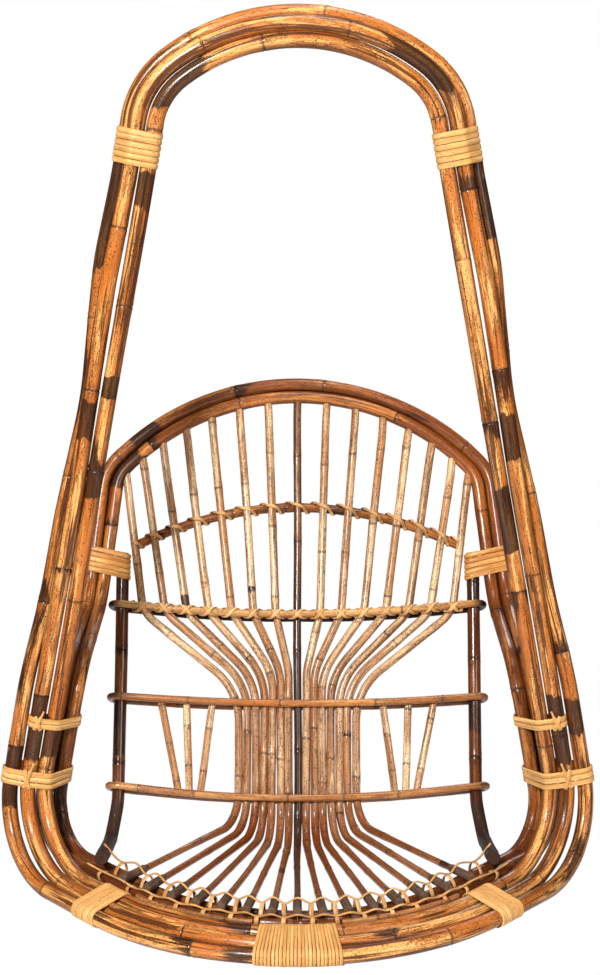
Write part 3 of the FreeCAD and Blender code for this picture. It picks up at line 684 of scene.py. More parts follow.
@dataclass(frozen=True)
class CaneGrowth:
    """How a natural cane differs from a plain rod, in millimetres, and the painted shade on its sides."""

    radius: float
    node_gap: tuple[float, float]
    sides: int = 20
    step: float = 6.0
    swell: float = 0.055
    swell_run: float = 7.0
    groove: float = 0.05
    groove_run: float = 1.1
    ring_run: float = 1.6
    wander: float = 0.35
    wander_spans: tuple[float, float] = (40.0, 160.0)
    still_end: float = 25.0
    scars: float = 0.6
    scar_runs: tuple[float, float] = (18.0, 75.0)
    shades: tuple[float, float] = (0.0, 1.0)
    lump: float = 0.012
    lump_span: float = 55.0
    tip: float = 0.88
    tip_run: float = 8.0
    # Painted shade: the sides of the cane that turn away from the front direction are darkened, by a strength
    # that wavers along the cane
    side_shade: float = 0.0
    side_shade_spans: tuple[float, float] = (25.0, 90.0)
    front: tuple[float, float, float] = (0.0, -0.92, 0.39)
    grain_shift: float = 7.31

    def _nodes(self, total: float, chance: np.random.Generator) -> list[float]:
        """Places of the nodes.

        Args:
            total: Length of the cane.
            chance: The random sequence.

        Returns:
            Their lengths along the cane.
        """
        nodes = []
        here = chance.uniform(0.3, 0.9) * self.node_gap[0]
        while here < total - 4.0:
            nodes.append(here)
            here += chance.uniform(*self.node_gap)
        return nodes

    def _stations(self, total: float, nodes: list[float]) -> np.ndarray:
        """Places of the rows of points, closer by the nodes and the ends.

        Args:
            total: Length of the cane.
            nodes: Places of the nodes.

        Returns:
            Their lengths along the cane.
        """
        fine = np.arange(-6.0, 6.1, 1.0)
        tips = np.array([0.5, 1.0])
        spots = [n + fine for n in nodes] + [tips, total - tips]
        lengths = np.r_[np.linspace(0.0, total, max(3, int(total / self.step))), *spots]
        lengths = np.unique(np.round(np.clip(lengths, 0.0, total), 2))
        return lengths[np.r_[True, np.diff(lengths) > 0.3]]

    def _joints(
        self, lengths: np.ndarray, nodes: list[float], chance: np.random.Generator
    ) -> tuple[np.ndarray, dict[str, np.ndarray]]:
        """What the nodes do to the cane: swellings, grooves, rings, scars and changes of tone.

        Args:
            lengths: Places of the rows.
            nodes: Places of the nodes.
            chance: The random sequence.

        Returns:
            The radius by row, and the marks by name and row.
        """
        radius = np.full(len(lengths), self.radius)
        ring = np.zeros(len(lengths))
        scar = np.zeros(len(lengths))
        shade = np.full(len(lengths), chance.uniform(*self.shades))
        for node in nodes:
            away = lengths - node
            shade = shade + (chance.uniform(*self.shades) - shade) * ease(away, -2.0, 2.0)
            below = away * chance.choice((-1.0, 1.0))
            if chance.uniform() < self.scars:
                fade = np.clip(1 - below / chance.uniform(*self.scar_runs), 0.0, 1.0)
                scar = np.maximum(scar, np.where(below > -1.0, fade, 0.0) * chance.uniform(0.2, 0.6))
            lift = chance.uniform(0.6, 1.2)
            radius *= 1 + self.swell * lift * np.exp(-((away / self.swell_run) ** 2))
            radius *= 1 - self.groove * lift * np.exp(-((away / self.groove_run) ** 2))
            ring = np.maximum(ring, np.exp(-((away / self.ring_run) ** 2)) * chance.uniform(0.55, 1.0))
        return radius, {"ring": ring[:, None], "tone": shade[:, None], "marked": scar[:, None]}

    def grow(
        self,
        name: str,
        path: BentPath,
        seed: int,
        thickness: Rule | None = None,
        marks: dict[str, Rule] | None = None,
    ) -> bpy.types.Object:
        """Grows the cane round its middle line, with nodes, swellings and a slight wander.

        Args:
            name: Name of the piece.
            path: Its middle line.
            seed: Start of the random sequence.
            thickness: Share of the full radius by length.
            marks: Named marks by length.

        Returns:
            The new object.
        """
        chance = np.random.default_rng(seed)
        nodes = self._nodes(path.total, chance)
        lengths = self._stations(path.total, nodes)
        left = path.total - lengths
        points = path.at(lengths)
        first, second = carried_frames(points)
        ends = np.minimum(ease(lengths, -1.0, self.still_end), ease(left, -1.0, self.still_end))
        for side in (first, second):
            waves = [wave(lengths, self.wander_spans, chance) * self.wander / 2 for _ in range(3)]
            points = points + side * (sum(waves) * ends)[:, None]
        radius, values = self._joints(lengths, nodes, chance)
        if thickness is not None:
            radius = radius * thickness(lengths)
        radius = radius * np.clip(self.tip + np.minimum(lengths, left) / self.tip_run, 0.0, 1.0)

        angles = np.linspace(0.0, 2 * math.pi, self.sides, endpoint=False)
        twist = lengths[:, None] / self.lump_span + chance.uniform(0, PHASE)
        spread = radius[:, None] * (1 + self.lump * np.sin(2 * angles[None, :] + twist))
        ring_x = spread * np.cos(angles)
        ring_y = spread * np.sin(angles)
        rows = points[:, None, :] + first[:, None, :] * ring_x[..., None]
        rows = rows + second[:, None, :] * ring_y[..., None]
        along = np.broadcast_to(lengths[:, None] * MM + self.grain_shift * seed, ring_x.shape)
        cane = np.stack([along, ring_x * MM, ring_y * MM], axis=-1)

        normals = first[:, None, :] * np.cos(angles)[:, None] + second[:, None, :] * np.sin(angles)[:, None]
        # Painted shade on the sides that turn away from the front, put into the stain mark
        sides = 1 - ease(np.abs(normals @ np.array(self.front)), 0.42, 0.86)
        shade_waves = sum(wave(lengths, self.side_shade_spans, chance) for _ in range(3))
        values["stain"] = self.side_shade * sides * np.clip(0.65 + shade_waves * 0.3, 0.0, 1.0)[:, None]
        for title, rule in (marks or {}).items():
            values[title] = np.maximum(values.get(title, 0.0), rule(lengths)[:, None])
        return loft(name, rows, cane, values, False)


# Setting out, as in the solid model


@dataclass(frozen=True)
class SettingOut:
    """Sizes and lines that the pieces share, in millimetres, from the hanging point."""

    hoop_r: float = 9.5
    arch_r: float = 8.5
    spindle_r: float = 5.3
    post_r: float = 8.3
    rail_r: float = 4.7
    bow_r: float = 6.25
    stick_r: float = 4.8
    edge_r: float = 3.0
    clear: float = 0.3
    butt: float = 0.05
    arch_radius: float = 212.0
    arch_half: float = 36.0
    shoulder_radius: float = 70.0
    leg_lean: float = 10.6
    leg_ease: float = 420.0
    outer_set: float = 12.4
    leg_spread: float = 23.0
    tie_slot: float = 2.5
    rim_level: float = -963.0
    rim_step: float = 4.0
    rim_front: float = 226.0
    rim_half: float = 48.0
    hoop_corner: float = 105.0
    ring_level: float = -961.0
    ring_corner: float = 64.0
    ring_corner_set: float = 16.0
    ring_ease: float = 0.18
    back_lean: float = 22.3
    back_foot: tuple[float, float, float] = (0.0, 107.0, -985.0)
    back_top: float = 575.0
    back_radius: float = 310.0
    back_half: float = 45.0
    back_shoulder: float = 42.0
    arm_rise: float = 305.0
    arm_half_width: float = 259.8
    arm_radius: float = 60.0
    arm_front_z: float = -735.0
    arm_front_half_width: float = 263.7
    post_half_width: float = 232.0
    post_ring_half_width: float = 232.8
    post_top: float = 377.2
    end_reach: float = 4.5
    arm_gap: float = 0.6
    probe: float = 0.5

    @property
    def hoop_step(self) -> float:
        """Middle to middle of two hoop canes that touch."""
        return 2 * self.hoop_r + self.clear

    @property
    def arch_step(self) -> float:
        """Middle to middle of two arch canes that touch."""
        return 2 * self.arch_r + self.clear

    @property
    def rim_plan_step(self) -> float:
        """Rim cane to rim cane seen from above."""
        return math.sqrt(self.hoop_step**2 - self.rim_step**2)

    @property
    def rim_radius(self) -> float:
        """Radius of the inner rim cane's front arc."""
        apex = self.leg_x(self.rim_level) * tan(self.rim_half)
        return (apex - self.rim_front) / (1 / cos(self.rim_half) - 1)

    @property
    def rim_centre_y(self) -> float:
        """Depth of the rim arcs' common centre."""
        return self.rim_radius - self.rim_front

    @property
    def ring_outer_radius(self) -> float:
        """Radius of the outer seat ring cane."""
        return self.rim_radius - self.hoop_r - self.tie_slot - self.arch_r

    @property
    def ring_inner_radius(self) -> float:
        """Radius of the inner seat ring cane."""
        return self.ring_outer_radius - self.arch_step

    @property
    def ring_outer_level(self) -> float:
        """Height of the outer seat ring cane."""
        slope = (self.ring_level - self.back_foot[2]) / (self.back_foot[1] + self.rim_front)
        return self.ring_level + self.arch_step * slope

    @property
    def back_up(self) -> Vector:
        """Direction up the back."""
        return Vector((0, sin(self.back_lean), cos(self.back_lean)))

    @property
    def back_rear(self) -> Vector:
        """Direction square to the back, to the rear."""
        return Vector((0, cos(self.back_lean), -sin(self.back_lean)))

    @property
    def arm_leg_depth(self) -> float:
        """Depth of the arm canes where they run down beside the legs."""
        return self.hoop_r + self.arch_r + self.clear + self.arm_gap

    @property
    def post_depth(self) -> float:
        """Side posts behind the middle of the spindles."""
        return self.post_r - self.spindle_r

    @property
    def rail_depth(self) -> float:
        """Rail run to the middle of the spindles."""
        return self.spindle_r + self.clear + self.rail_r

    @property
    def rail_turn(self) -> float:
        """Radius of a rail's bend round a post."""
        return self.post_r + self.clear + self.rail_r

    def on_back(self, x: float, rise: float, depth: float = 0.0) -> Vector:
        """Point of the back plane.

        Args:
            x: Distance from the middle.
            rise: Distance up the plane from its foot.
            depth: Distance to the rear of the plane.

        Returns:
            The point.
        """
        return Vector(self.back_foot) + Vector((x, 0, 0)) + self.back_up * rise + self.back_rear * depth

    def leg_x(self, z: float) -> float:
        """Distance of the inner hoop cane from the middle, on its leg.

        Args:
            z: Height on the leg.

        Returns:
            The distance.
        """
        arc = self.arch_radius + self.hoop_r
        bend = self.shoulder_radius + self.hoop_r
        end_x = arc * sin(self.arch_half) + bend * (cos(self.leg_lean) - sin(self.arch_half))
        drop = bend * (cos(self.arch_half) - sin(self.leg_lean))
        end_z = -self.arch_radius + arc * cos(self.arch_half) - drop
        return end_x + (end_z - z) * tan(self.leg_lean)

    def leg_point(self, z: float, spread: float, depth: float) -> Vector:
        """Point of the left leg, spread outward from the inner cane."""
        return Vector((-self.leg_x(z) - spread / cos(self.leg_lean), depth, z))

    def straight_y(self, radius: float, x: float) -> float:
        """Depth of a rim or ring straight at x."""
        return self.rim_centre_y + x * tan(self.rim_half) - radius / cos(self.rim_half)

    def straight_x(self, radius: float, y: float) -> float:
        """Distance of a rim or ring straight from the middle at depth y."""
        return (y - self.rim_centre_y + radius / cos(self.rim_half)) / tan(self.rim_half)

    def curve_y(self, radius: float, x: float) -> float:
        """Depth of a whole rim or ring, arc or straight.

        Args:
            radius: Radius of its front arc.
            x: Distance from the middle.

        Returns:
            The depth.
        """
        if abs(x) < radius * sin(self.rim_half):
            return self.rim_centre_y - math.sqrt(radius**2 - x**2)
        return self.straight_y(radius, abs(x))

    def front_corners(self, radius: float, z: float) -> list[Corner]:
        """Left half of a front arc.

        Args:
            radius: Radius of the arc.
            z: Its height.

        Returns:
            The middle of the front and the corner beside it.
        """
        front = self.rim_centre_y - radius
        apex = Vector((-radius * tan(self.rim_half / 2) - 2 * self.butt, front, z))
        return [(Vector((-self.butt, front, z)), 0.0), (apex, radius)]

    def arch_corners(self, spread: float, depth: float) -> tuple[Corner, Corner]:
        """Left shoulder and top of a back arch cane.

        Args:
            spread: Distance outside the inner cane.
            depth: Distance behind it.

        Returns:
            The two corners.
        """
        arc = self.back_radius + self.arch_r + spread
        bend = self.back_shoulder + self.arch_r + spread
        centre = self.back_top - self.back_radius
        rise = centre + arc * cos(self.back_half) - bend * tan(self.back_half / 2) * sin(self.back_half)
        x = -arc * sin(self.back_half) - bend * tan(self.back_half / 2) * cos(self.back_half)
        top = self.on_back(0, centre + arc / cos(self.back_half), depth)
        return (self.on_back(x, rise, depth), bend), (top, arc)

    def arm_corners(self, spread: float, depth: float) -> list[Corner]:
        """Front and rear bend of a left arm cane.

        Args:
            spread: Distance outside the inner cane.
            depth: Distance behind it.

        Returns:
            The two corners, the front one first.
        """
        rear = self.on_back(-self.arm_half_width, self.arm_rise)
        front = Vector((-self.arm_front_half_width, self.arm_leg_depth, self.arm_front_z))
        run = Vector((0, rear.y - front.y, rear.z - front.z)).normalized()
        run_rear = Vector((0, run.z, -run.y))
        at_rear = (self.back_rear + run_rear).normalized()
        at_front = (Vector((0, 1, 0)) + run_rear).normalized()
        out = Vector((spread, 0, 0))
        rear = rear + at_rear * (depth / at_rear.dot(self.back_rear)) - out
        front = front + at_front * (depth / at_front.dot(run_rear)) - out
        return [(front, self.arm_radius), (rear, self.arm_radius)]

    def arch_rise(self, x: float) -> float:
        """Middle of the inner arch cane up the back at x."""
        arc = self.back_radius + self.arch_r
        return self.back_top - self.back_radius + math.sqrt(arc**2 - x**2)

    def over_rings(self, foot: Vector, x: float, rod_r: float) -> Vector:
        """End of a seat rod that runs from its foot over both seat ring canes.

        Args:
            foot: Where the rod leaves the back.
            x: Where it passes the inner seat ring cane, from the middle.
            rod_r: Its radius.

        Returns:
            The middle of its front end.
        """
        level = self.ring_level + self.arch_r + self.clear + rod_r * (1 + self.ring_ease)
        end = Vector((x, self.curve_y(self.ring_inner_radius, x), level))
        ahead = (end - foot).normalized()
        while end.y > self.curve_y(self.ring_outer_radius + self.arch_r / 2 + self.end_reach, end.x):
            end = end + ahead * self.probe
        return end


def both_sides(left: list[Corner], apex: Corner) -> list[Corner]:
    """A whole run from its left half and its top."""
    right = [(Vector((-point.x, point.y, point.z)), radius) for point, radius in reversed(left)]
    return left + [apex] + right


# Sub-assemblies


@dataclass(frozen=True)
class Burn:
    """A burnt length of a hoop or arch cane, by its height on one side."""

    place: Place
    side: Side
    low: float
    high: float
    fade: float = 14.0

    def on(self, path: BentPath, run: np.ndarray) -> np.ndarray:
        """How burnt a cane is.

        Args:
            path: Middle line of the cane.
            run: Lengths along it.

        Returns:
            The burn at each length, from 0 to 1.
        """
        points = path.at(run)
        height = points[:, 2]
        inside = np.minimum(
            ease(height, self.low - self.fade, self.low + self.fade),
            1 - ease(height, self.high - self.fade, self.high + self.fade),
        )
        return inside * (points[:, 0] * self.side.value > 0)


def burnt(burns: Sequence[Burn], place: Place, path: BentPath) -> Rule:
    """Rule for the burnt lengths of one cane.

    Args:
        burns: Burns of the whole sub-assembly.
        place: Which cane it is.
        path: Its middle line.

    Returns:
        The rule.
    """
    mine = [burn for burn in burns if burn.place is place]

    def rule(run: np.ndarray) -> np.ndarray:
        """Strongest burn at each length."""
        return np.max([burn.on(path, run) for burn in mine] + [np.zeros(len(run))], axis=0)

    return rule


@dataclass
class Hoop:
    """Three thick canes from the rim up the legs and over the top."""

    lines: SettingOut
    shop: Workshop
    burns: tuple[Burn, ...] = (
        Burn(Place.MIDDLE, Side.LEFT, -442.0, -397.0),
        Burn(Place.INNER, Side.LEFT, -394.0, -374.0, 9.0),
        Burn(Place.INNER, Side.LEFT, -512.0, -478.0, 16.0),
        Burn(Place.OUTER, Side.LEFT, -900.0, -830.0),
        Burn(Place.INNER, Side.LEFT, -835.0, -790.0),
        Burn(Place.MIDDLE, Side.LEFT, -830.0, -800.0),
        Burn(Place.OUTER, Side.LEFT, -235.0, -150.0, 22.0),
        Burn(Place.INNER, Side.LEFT, -170.0, -140.0),
        Burn(Place.MIDDLE, Side.RIGHT, -468.0, -420.0, 12.0),
        Burn(Place.OUTER, Side.RIGHT, -215.0, -150.0, 22.0),
        Burn(Place.INNER, Side.RIGHT, -580.0, -508.0, 12.0),
        Burn(Place.MIDDLE, Side.RIGHT, -840.0, -760.0),
        Burn(Place.OUTER, Side.RIGHT, -800.0, -770.0),
        Burn(Place.INNER, Side.LEFT, -60.0, -25.0, 16.0),
        Burn(Place.MIDDLE, Side.RIGHT, -40.0, 5.0, 16.0),
    )
    # The growth paints shade on the sides of the hoop canes that turn away from the front
    growth: CaneGrowth = CaneGrowth(
        9.5, (150.0, 260.0), sides=28, groove=0.07, wander=0.6, scars=0.25, shades=(0.2, 0.9), side_shade=0.85
    )
    seed: int = 3
    foot_gap: float = 0.4
    middle_bends: tuple[float, ...] = (-500.0, -260.0, -142.0)
    outer_bends: tuple[float, ...] = (-800.0, -735.0, -640.0, -540.0, -400.0, -240.0, -142.0)
    paths: dict[Place, BentPath] = field(default_factory=dict)

    def _corners(self, order: int, leg: list[Vector], spread: float, depth: float) -> list[Corner]:
        """Corners of one hoop cane.

        Args:
            order: 0 for the inner cane, 2 for the outer one.
            leg: Bends on the leg, from below.
            spread: Distance outside the inner cane at the top.
            depth: Distance behind it at the top.

        Returns:
            Corners of the whole cane.
        """
        s = self.lines
        radius = s.rim_radius + order * s.rim_plan_step
        level = s.rim_level - order * s.rim_step
        foot = s.leg_x(level) + order * s.hoop_step / cos(s.leg_lean)
        left = s.front_corners(radius, level)
        left.append((Vector((-foot, s.straight_y(radius, foot), level)), s.hoop_corner))
        left += [(point, s.leg_ease) for point in leg]
        arc = s.arch_radius + s.hoop_r + spread
        bend = s.shoulder_radius + s.hoop_r + spread
        reach = bend * tan((90 - s.leg_lean - s.arch_half) / 2)
        x = -arc * sin(s.arch_half) - reach * cos(s.arch_half)
        z = -s.arch_radius + arc * cos(s.arch_half) - reach * sin(s.arch_half)
        left.append((Vector((x, depth, z)), bend))
        return both_sides(left, (Vector((0, depth, -s.arch_radius + arc / cos(s.arch_half))), arc))

    def build(self) -> None:
        """Builds and dresses the three canes."""
        s = self.lines
        low = s.hoop_step + self.foot_gap
        behind = math.sqrt(s.hoop_step**2 - s.outer_set**2)
        middle_spreads = (low, s.leg_spread, s.hoop_step)
        middle_leg = [s.leg_point(z, spread, 0.0) for z, spread in zip(self.middle_bends, middle_spreads)]
        outer_places = (
            (2 * s.hoop_step + s.tie_slot, 0.0),
            (low + s.hoop_step + s.tie_slot, 0.0),
            (low + 15.0, 13.0),
            (low + 13.0, 15.0),
            (s.leg_spread + 1.5, 22.5),
            (s.leg_spread + s.outer_set, behind + 1.0),
            (s.hoop_step + s.outer_set, behind),
        )
        outer_leg = [s.leg_point(z, *place) for z, place in zip(self.outer_bends, outer_places)]
        plans = {
            Place.INNER: self._corners(0, [], 0.0, 0.0),
            Place.MIDDLE: self._corners(1, middle_leg, s.hoop_step, 0.0),
            Place.OUTER: self._corners(2, outer_leg, s.hoop_step + s.outer_set, behind),
        }
        for seed, (place, corners) in enumerate(plans.items(), start=self.seed):
            path = BentPath(corners)
            self.paths[place] = path
            marks = {"marked": burnt(self.burns, place, path)}
            cane = self.growth.grow(f"hoop_{place.value}", path, seed, marks=marks)
            self.shop.dress(cane, HOOP_GOLD, f"hoop_cane_{place.value}")


@dataclass
class BackArch:
    """Three canes over the back, forward as arms and round as the seat ring."""

    lines: SettingOut
    shop: Workshop
    burns: tuple[Burn, ...] = (
        Burn(Place.INNER, Side.LEFT, -940.0, -880.0),
        Burn(Place.OUTER, Side.LEFT, -930.0, -850.0),
        Burn(Place.INNER, Side.LEFT, -560.0, -520.0),
        Burn(Place.OUTER, Side.RIGHT, -900.0, -820.0),
        Burn(Place.OUTER, Side.LEFT, -500.0, -486.0, 9.0),
    )
    # The growth paints shade on the sides of the arch canes that turn away from the front
    growth: CaneGrowth = CaneGrowth(
        8.5, (120.0, 220.0), sides=26, groove=0.06, wander=0.5, scars=0.3, side_shade=0.7
    )
    seed: int = 11
    middle_foot: float = 0.72
    # Painted shade on the seat ring, which lies lower and further back
    ring_shade: float = 0.75
    ring_shade_runs: tuple[float, float] = (420.0, 330.0)
    paths: dict[Place, BentPath] = field(default_factory=dict)

    def _ring_cane(self, radius: float, level: float, spread: float) -> list[Corner]:
        """Corners of a cane that runs on as a seat ring.

        Args:
            radius: Radius of the seat ring's front arc.
            level: Height of the seat ring.
            spread: Distance outside the inner cane.

        Returns:
            Corners of the whole cane.
        """
        s = self.lines
        depth = s.arm_leg_depth + s.ring_corner_set
        corner = Vector((-s.straight_x(radius, depth), depth, level))
        left = s.front_corners(radius, level) + [(corner, s.ring_corner)]
        shoulder, top = s.arch_corners(spread, 0.0)
        return both_sides(left + s.arm_corners(spread, 0.0) + [shoulder], top)

    def _ring_shade_rule(self, path: BentPath) -> Rule:
        """Rule for painted shade on the seat ring at both ends of a cane, where it lies lower and further
        back.
        """
        half = path.total / 2
        return lambda run: self.ring_shade * ease(np.abs(run - half), *(half - n for n in self.ring_shade_runs))

    def build(self) -> None:
        """Builds and dresses the three canes."""
        s = self.lines
        inner = self._ring_cane(s.ring_inner_radius, s.ring_level, 0.0)
        outer = self._ring_cane(s.ring_outer_radius, s.ring_outer_level, s.arch_step)
        depth = s.arch_step * sin(60) + 2 * s.clear
        feet = [run[3][0].lerp(run[2][0], self.middle_foot) for run in (inner, outer)]
        foot = (feet[0] + feet[1]) / 2 + Vector((0, depth + 4 * s.clear, 0))
        shoulder, top = s.arch_corners(s.arch_step / 2, depth)
        middle = both_sides([(foot, 0.0)] + s.arm_corners(s.arch_step / 2, depth) + [shoulder], top)
        plans = {Place.INNER: inner, Place.MIDDLE: middle, Place.OUTER: outer}
        for seed, (place, corners) in enumerate(plans.items(), start=self.seed):
            path = BentPath(corners)
            self.paths[place] = path
            marks = {"marked": burnt(self.burns, place, path)}
            # The seat ring at both ends gets painted shade in the stain mark
            if place is not Place.MIDDLE:
                marks["stain"] = self._ring_shade_rule(path)
            cane = self.growth.grow(f"back_arch_{place.value}", path, seed, marks=marks)
            self.shop.dress(cane, ARCH_BROWN, f"back_arch_cane_{place.value}")


@dataclass
class SpindleFan:
    """Fifteen spindles: spread at the arch, close at the waist, spread again on the seat."""

    lines: SettingOut
    shop: Workshop
    # The growth paints shade on the sides of the spindles that turn away from the front
    growth: CaneGrowth = CaneGrowth(
        5.3, (85.0, 150.0), sides=16, swell=0.10, groove=0.07, wander=0.7, scars=0.2, shades=(0.0, 0.7),
        side_shade=0.4,
    )
    seed: int = 40
    per_side: int = 7
    pitch: float = 10.9
    rail_pitch: float = 29.2
    top_pitch: float = 40.0
    top_crowd: float = 0.145
    ring_pitch: float = 27.2
    seat_bend: float = 50.0
    seat_foot: float = 18.0
    seat_bowl: float = 24.0
    waist_top: float = 190.0
    waist_stagger: float = 24.0
    waist_bend: float = 85.0
    fan_foot: float = 291.0
    fan_bend: float = 44.0
    bark_run: float = 44.0
    slim: float = 0.74
    top_sunk: float = 0.8
    seat_stain: float = 0.92
    waist_fade: float = 0.60
    back_fade: float = 0.26
    centre_stain: float = 0.95
    centre_fade: float = 0.65
    deeper_skip: int = 5
    deeper: tuple[float, ...] = (0.0, 0.08, -0.04, 0.16, 0.02, 0.10, -0.05)
    paths: dict[int, BentPath] = field(default_factory=dict)

    def path(self, order: int) -> BentPath:
        """Middle line of one spindle.

        Args:
            order: Its number, counted from the middle.

        Returns:
            The line, from the seat to the arch.
        """
        s = self.lines
        middling = 1 - (order / self.per_side) ** 2
        x = order * self.pitch
        top_x = order * self.top_pitch - order**3 * self.top_crowd
        foot = s.on_back(x, self.seat_foot - self.seat_bowl * middling)
        leaves = s.on_back(x, self.waist_top + self.waist_stagger * middling)
        fans = s.on_back(order * self.rail_pitch, self.fan_foot)
        aim = s.on_back(top_x, s.arch_rise(top_x))
        top = aim - (aim - fans).normalized() * (s.arch_r * self.top_sunk)
        front = s.over_rings(foot, order * self.ring_pitch, s.spindle_r)
        bends = [(foot, self.seat_bend), (leaves, self.waist_bend), (fans, self.fan_bend)]
        return BentPath([(front, 0.0), *bends, (top, 0.0)])

    def _rules(self, order: int, path: BentPath) -> tuple[Rule, dict[str, Rule]]:
        """How thick, how dark and how barked one spindle is.

        Args:
            order: Its number, counted from the middle.
            path: Its middle line.

        Returns:
            The rule for its thickness, and those for its marks by name.
        """
        seat = path.nearest_length(self.lines.on_back(order * self.pitch, self.seat_foot))
        deeper = self.deeper[(order * self.deeper_skip) % len(self.deeper)]

        def thickness(run: np.ndarray) -> np.ndarray:
            """Thick barked end, slim on the seat, full on the back.

            Args:
                run: Lengths along the spindle.

            Returns:
                Share of the full radius at each length.
            """
            end = 1 - ease(run, self.bark_run, self.bark_run + 5.0)
            back = ease(run, seat * 0.45, seat + 25.0)
            return np.maximum(end * 0.98, self.slim + (1 - self.slim) * back)

        def stain(run: np.ndarray) -> np.ndarray:
            """Dark on the seat and paler up the back; the centre spindle stays dark for longer.

            Args:
                run: Lengths along the spindle.

            Returns:
                The stain at each length.
            """
            fade = self.seat_stain - self.waist_fade * ease(run, seat - 20.0, seat + 60.0)
            fade = fade - self.back_fade * ease(run, seat + 170.0, seat + 260.0)
            dark = self.centre_stain - self.centre_fade * ease(run, seat + 260.0, seat + 420.0)
            return np.maximum(fade + deeper, dark if order == 0 else 0.0)

        def bark(run: np.ndarray) -> np.ndarray:
            """Barked front end."""
            return 1 - ease(run, self.bark_run, self.bark_run + 3.0)

        return thickness, {"stain": stain, "bark": bark}

    def build(self) -> None:
        """Builds and dresses all the spindles."""
        for order in range(-self.per_side, self.per_side + 1):
            path = self.path(order)
            self.paths[order] = path
            thickness, marks = self._rules(order, path)
            number = f"{order + self.per_side + 1:02d}"
            cane = self.growth.grow(f"spindle_cane_{number}", path, self.seed + order, thickness, marks)
            self.shop.dress(cane, CENTRE_DARK if order == 0 else SPINDLE_PALE, f"spindle_{number}")


@dataclass
class SidePosts:
    """One dark cane at each edge of the back."""

    lines: SettingOut
    shop: Workshop
    growth: CaneGrowth = CaneGrowth(8.3, (90.0, 150.0), sides=24, step=4.0, swell=0.05, wander=0.5)
    seed: int = 70
    seat_bend: float = 34.0
    knee_rise: float = 46.0
    knee_bend: float = 120.0
    foot_set: float = 8.0
    tucked: float = 6.5
    waist_fade: float = 0.62
    upper_stain: float = 0.2
    bark_share: float = 0.9
    burn_fade: float = 5.0
    burns: tuple[tuple[Side, float, float], ...] = (
        (Side.LEFT, 106.0, 178.0),
        (Side.LEFT, 318.0, 345.0),
        (Side.RIGHT, 138.0, 172.0),
        (Side.RIGHT, 300.0, 345.0),
    )
    paths: dict[Side, BentPath] = field(default_factory=dict)

    def _rules(self, side: Side, path: BentPath, foot: Vector) -> dict[str, Rule]:
        """How dark, how barked and how burnt one post is.

        Args:
            side: Its side.
            path: Its middle line.
            foot: The corner where it leaves the back.

        Returns:
            The rules by mark.
        """
        base = self.lines.post_top - self.tucked - path.total
        bark_run = path.nearest_length(foot) + self.seat_bend
        burns = [(low, high) for where, low, high in self.burns if where is side]

        def stain(run: np.ndarray) -> np.ndarray:
            """Dark red-brown below, browner above the waist."""
            waist = self.waist_fade * ease(run + base, 60.0, 66.0)
            return 1 - waist + self.upper_stain * ease(run + base, 190.0, 260.0)

        def bark(run: np.ndarray) -> np.ndarray:
            """Grey front end."""
            return self.bark_share * (1 - ease(run, bark_run, bark_run + 14.0))

        def marked(run: np.ndarray) -> np.ndarray:
            """Burnt black lengths.

            Args:
                run: Lengths along the post.

            Returns:
                The burn at each length, from 0 to 1.
            """
            rise = run + base
            found = []
            for low, high in burns:
                begun = ease(rise, low - self.burn_fade, low + self.burn_fade)
                found.append(np.minimum(begun, 1 - ease(rise, high - self.burn_fade, high + self.burn_fade)))
            return np.max(found, axis=0)

        return {"stain": stain, "bark": bark, "marked": marked}

    def build(self) -> None:
        """Builds and dresses both posts."""
        s = self.lines
        for seed, side in enumerate(Side, start=self.seed):
            x = side.value * s.post_half_width
            foot = s.on_back(x + side.value * self.foot_set, 0.0, s.post_depth)
            end = s.over_rings(foot, side.value * s.post_ring_half_width, s.post_r)
            knee = s.on_back(x, self.knee_rise, s.post_depth)
            top = s.on_back(x, s.post_top - self.tucked, s.post_depth)
            path = BentPath([(end, 0.0), (foot, self.seat_bend), (knee, self.knee_bend), (top, 0.0)])
            self.paths[side] = path
            name = side.name.lower()
            cane = self.growth.grow(f"post_cane_{name}", path, seed, marks=self._rules(side, path, foot))
            self.shop.dress(cane, POST_DARK, f"side_post_{name}")


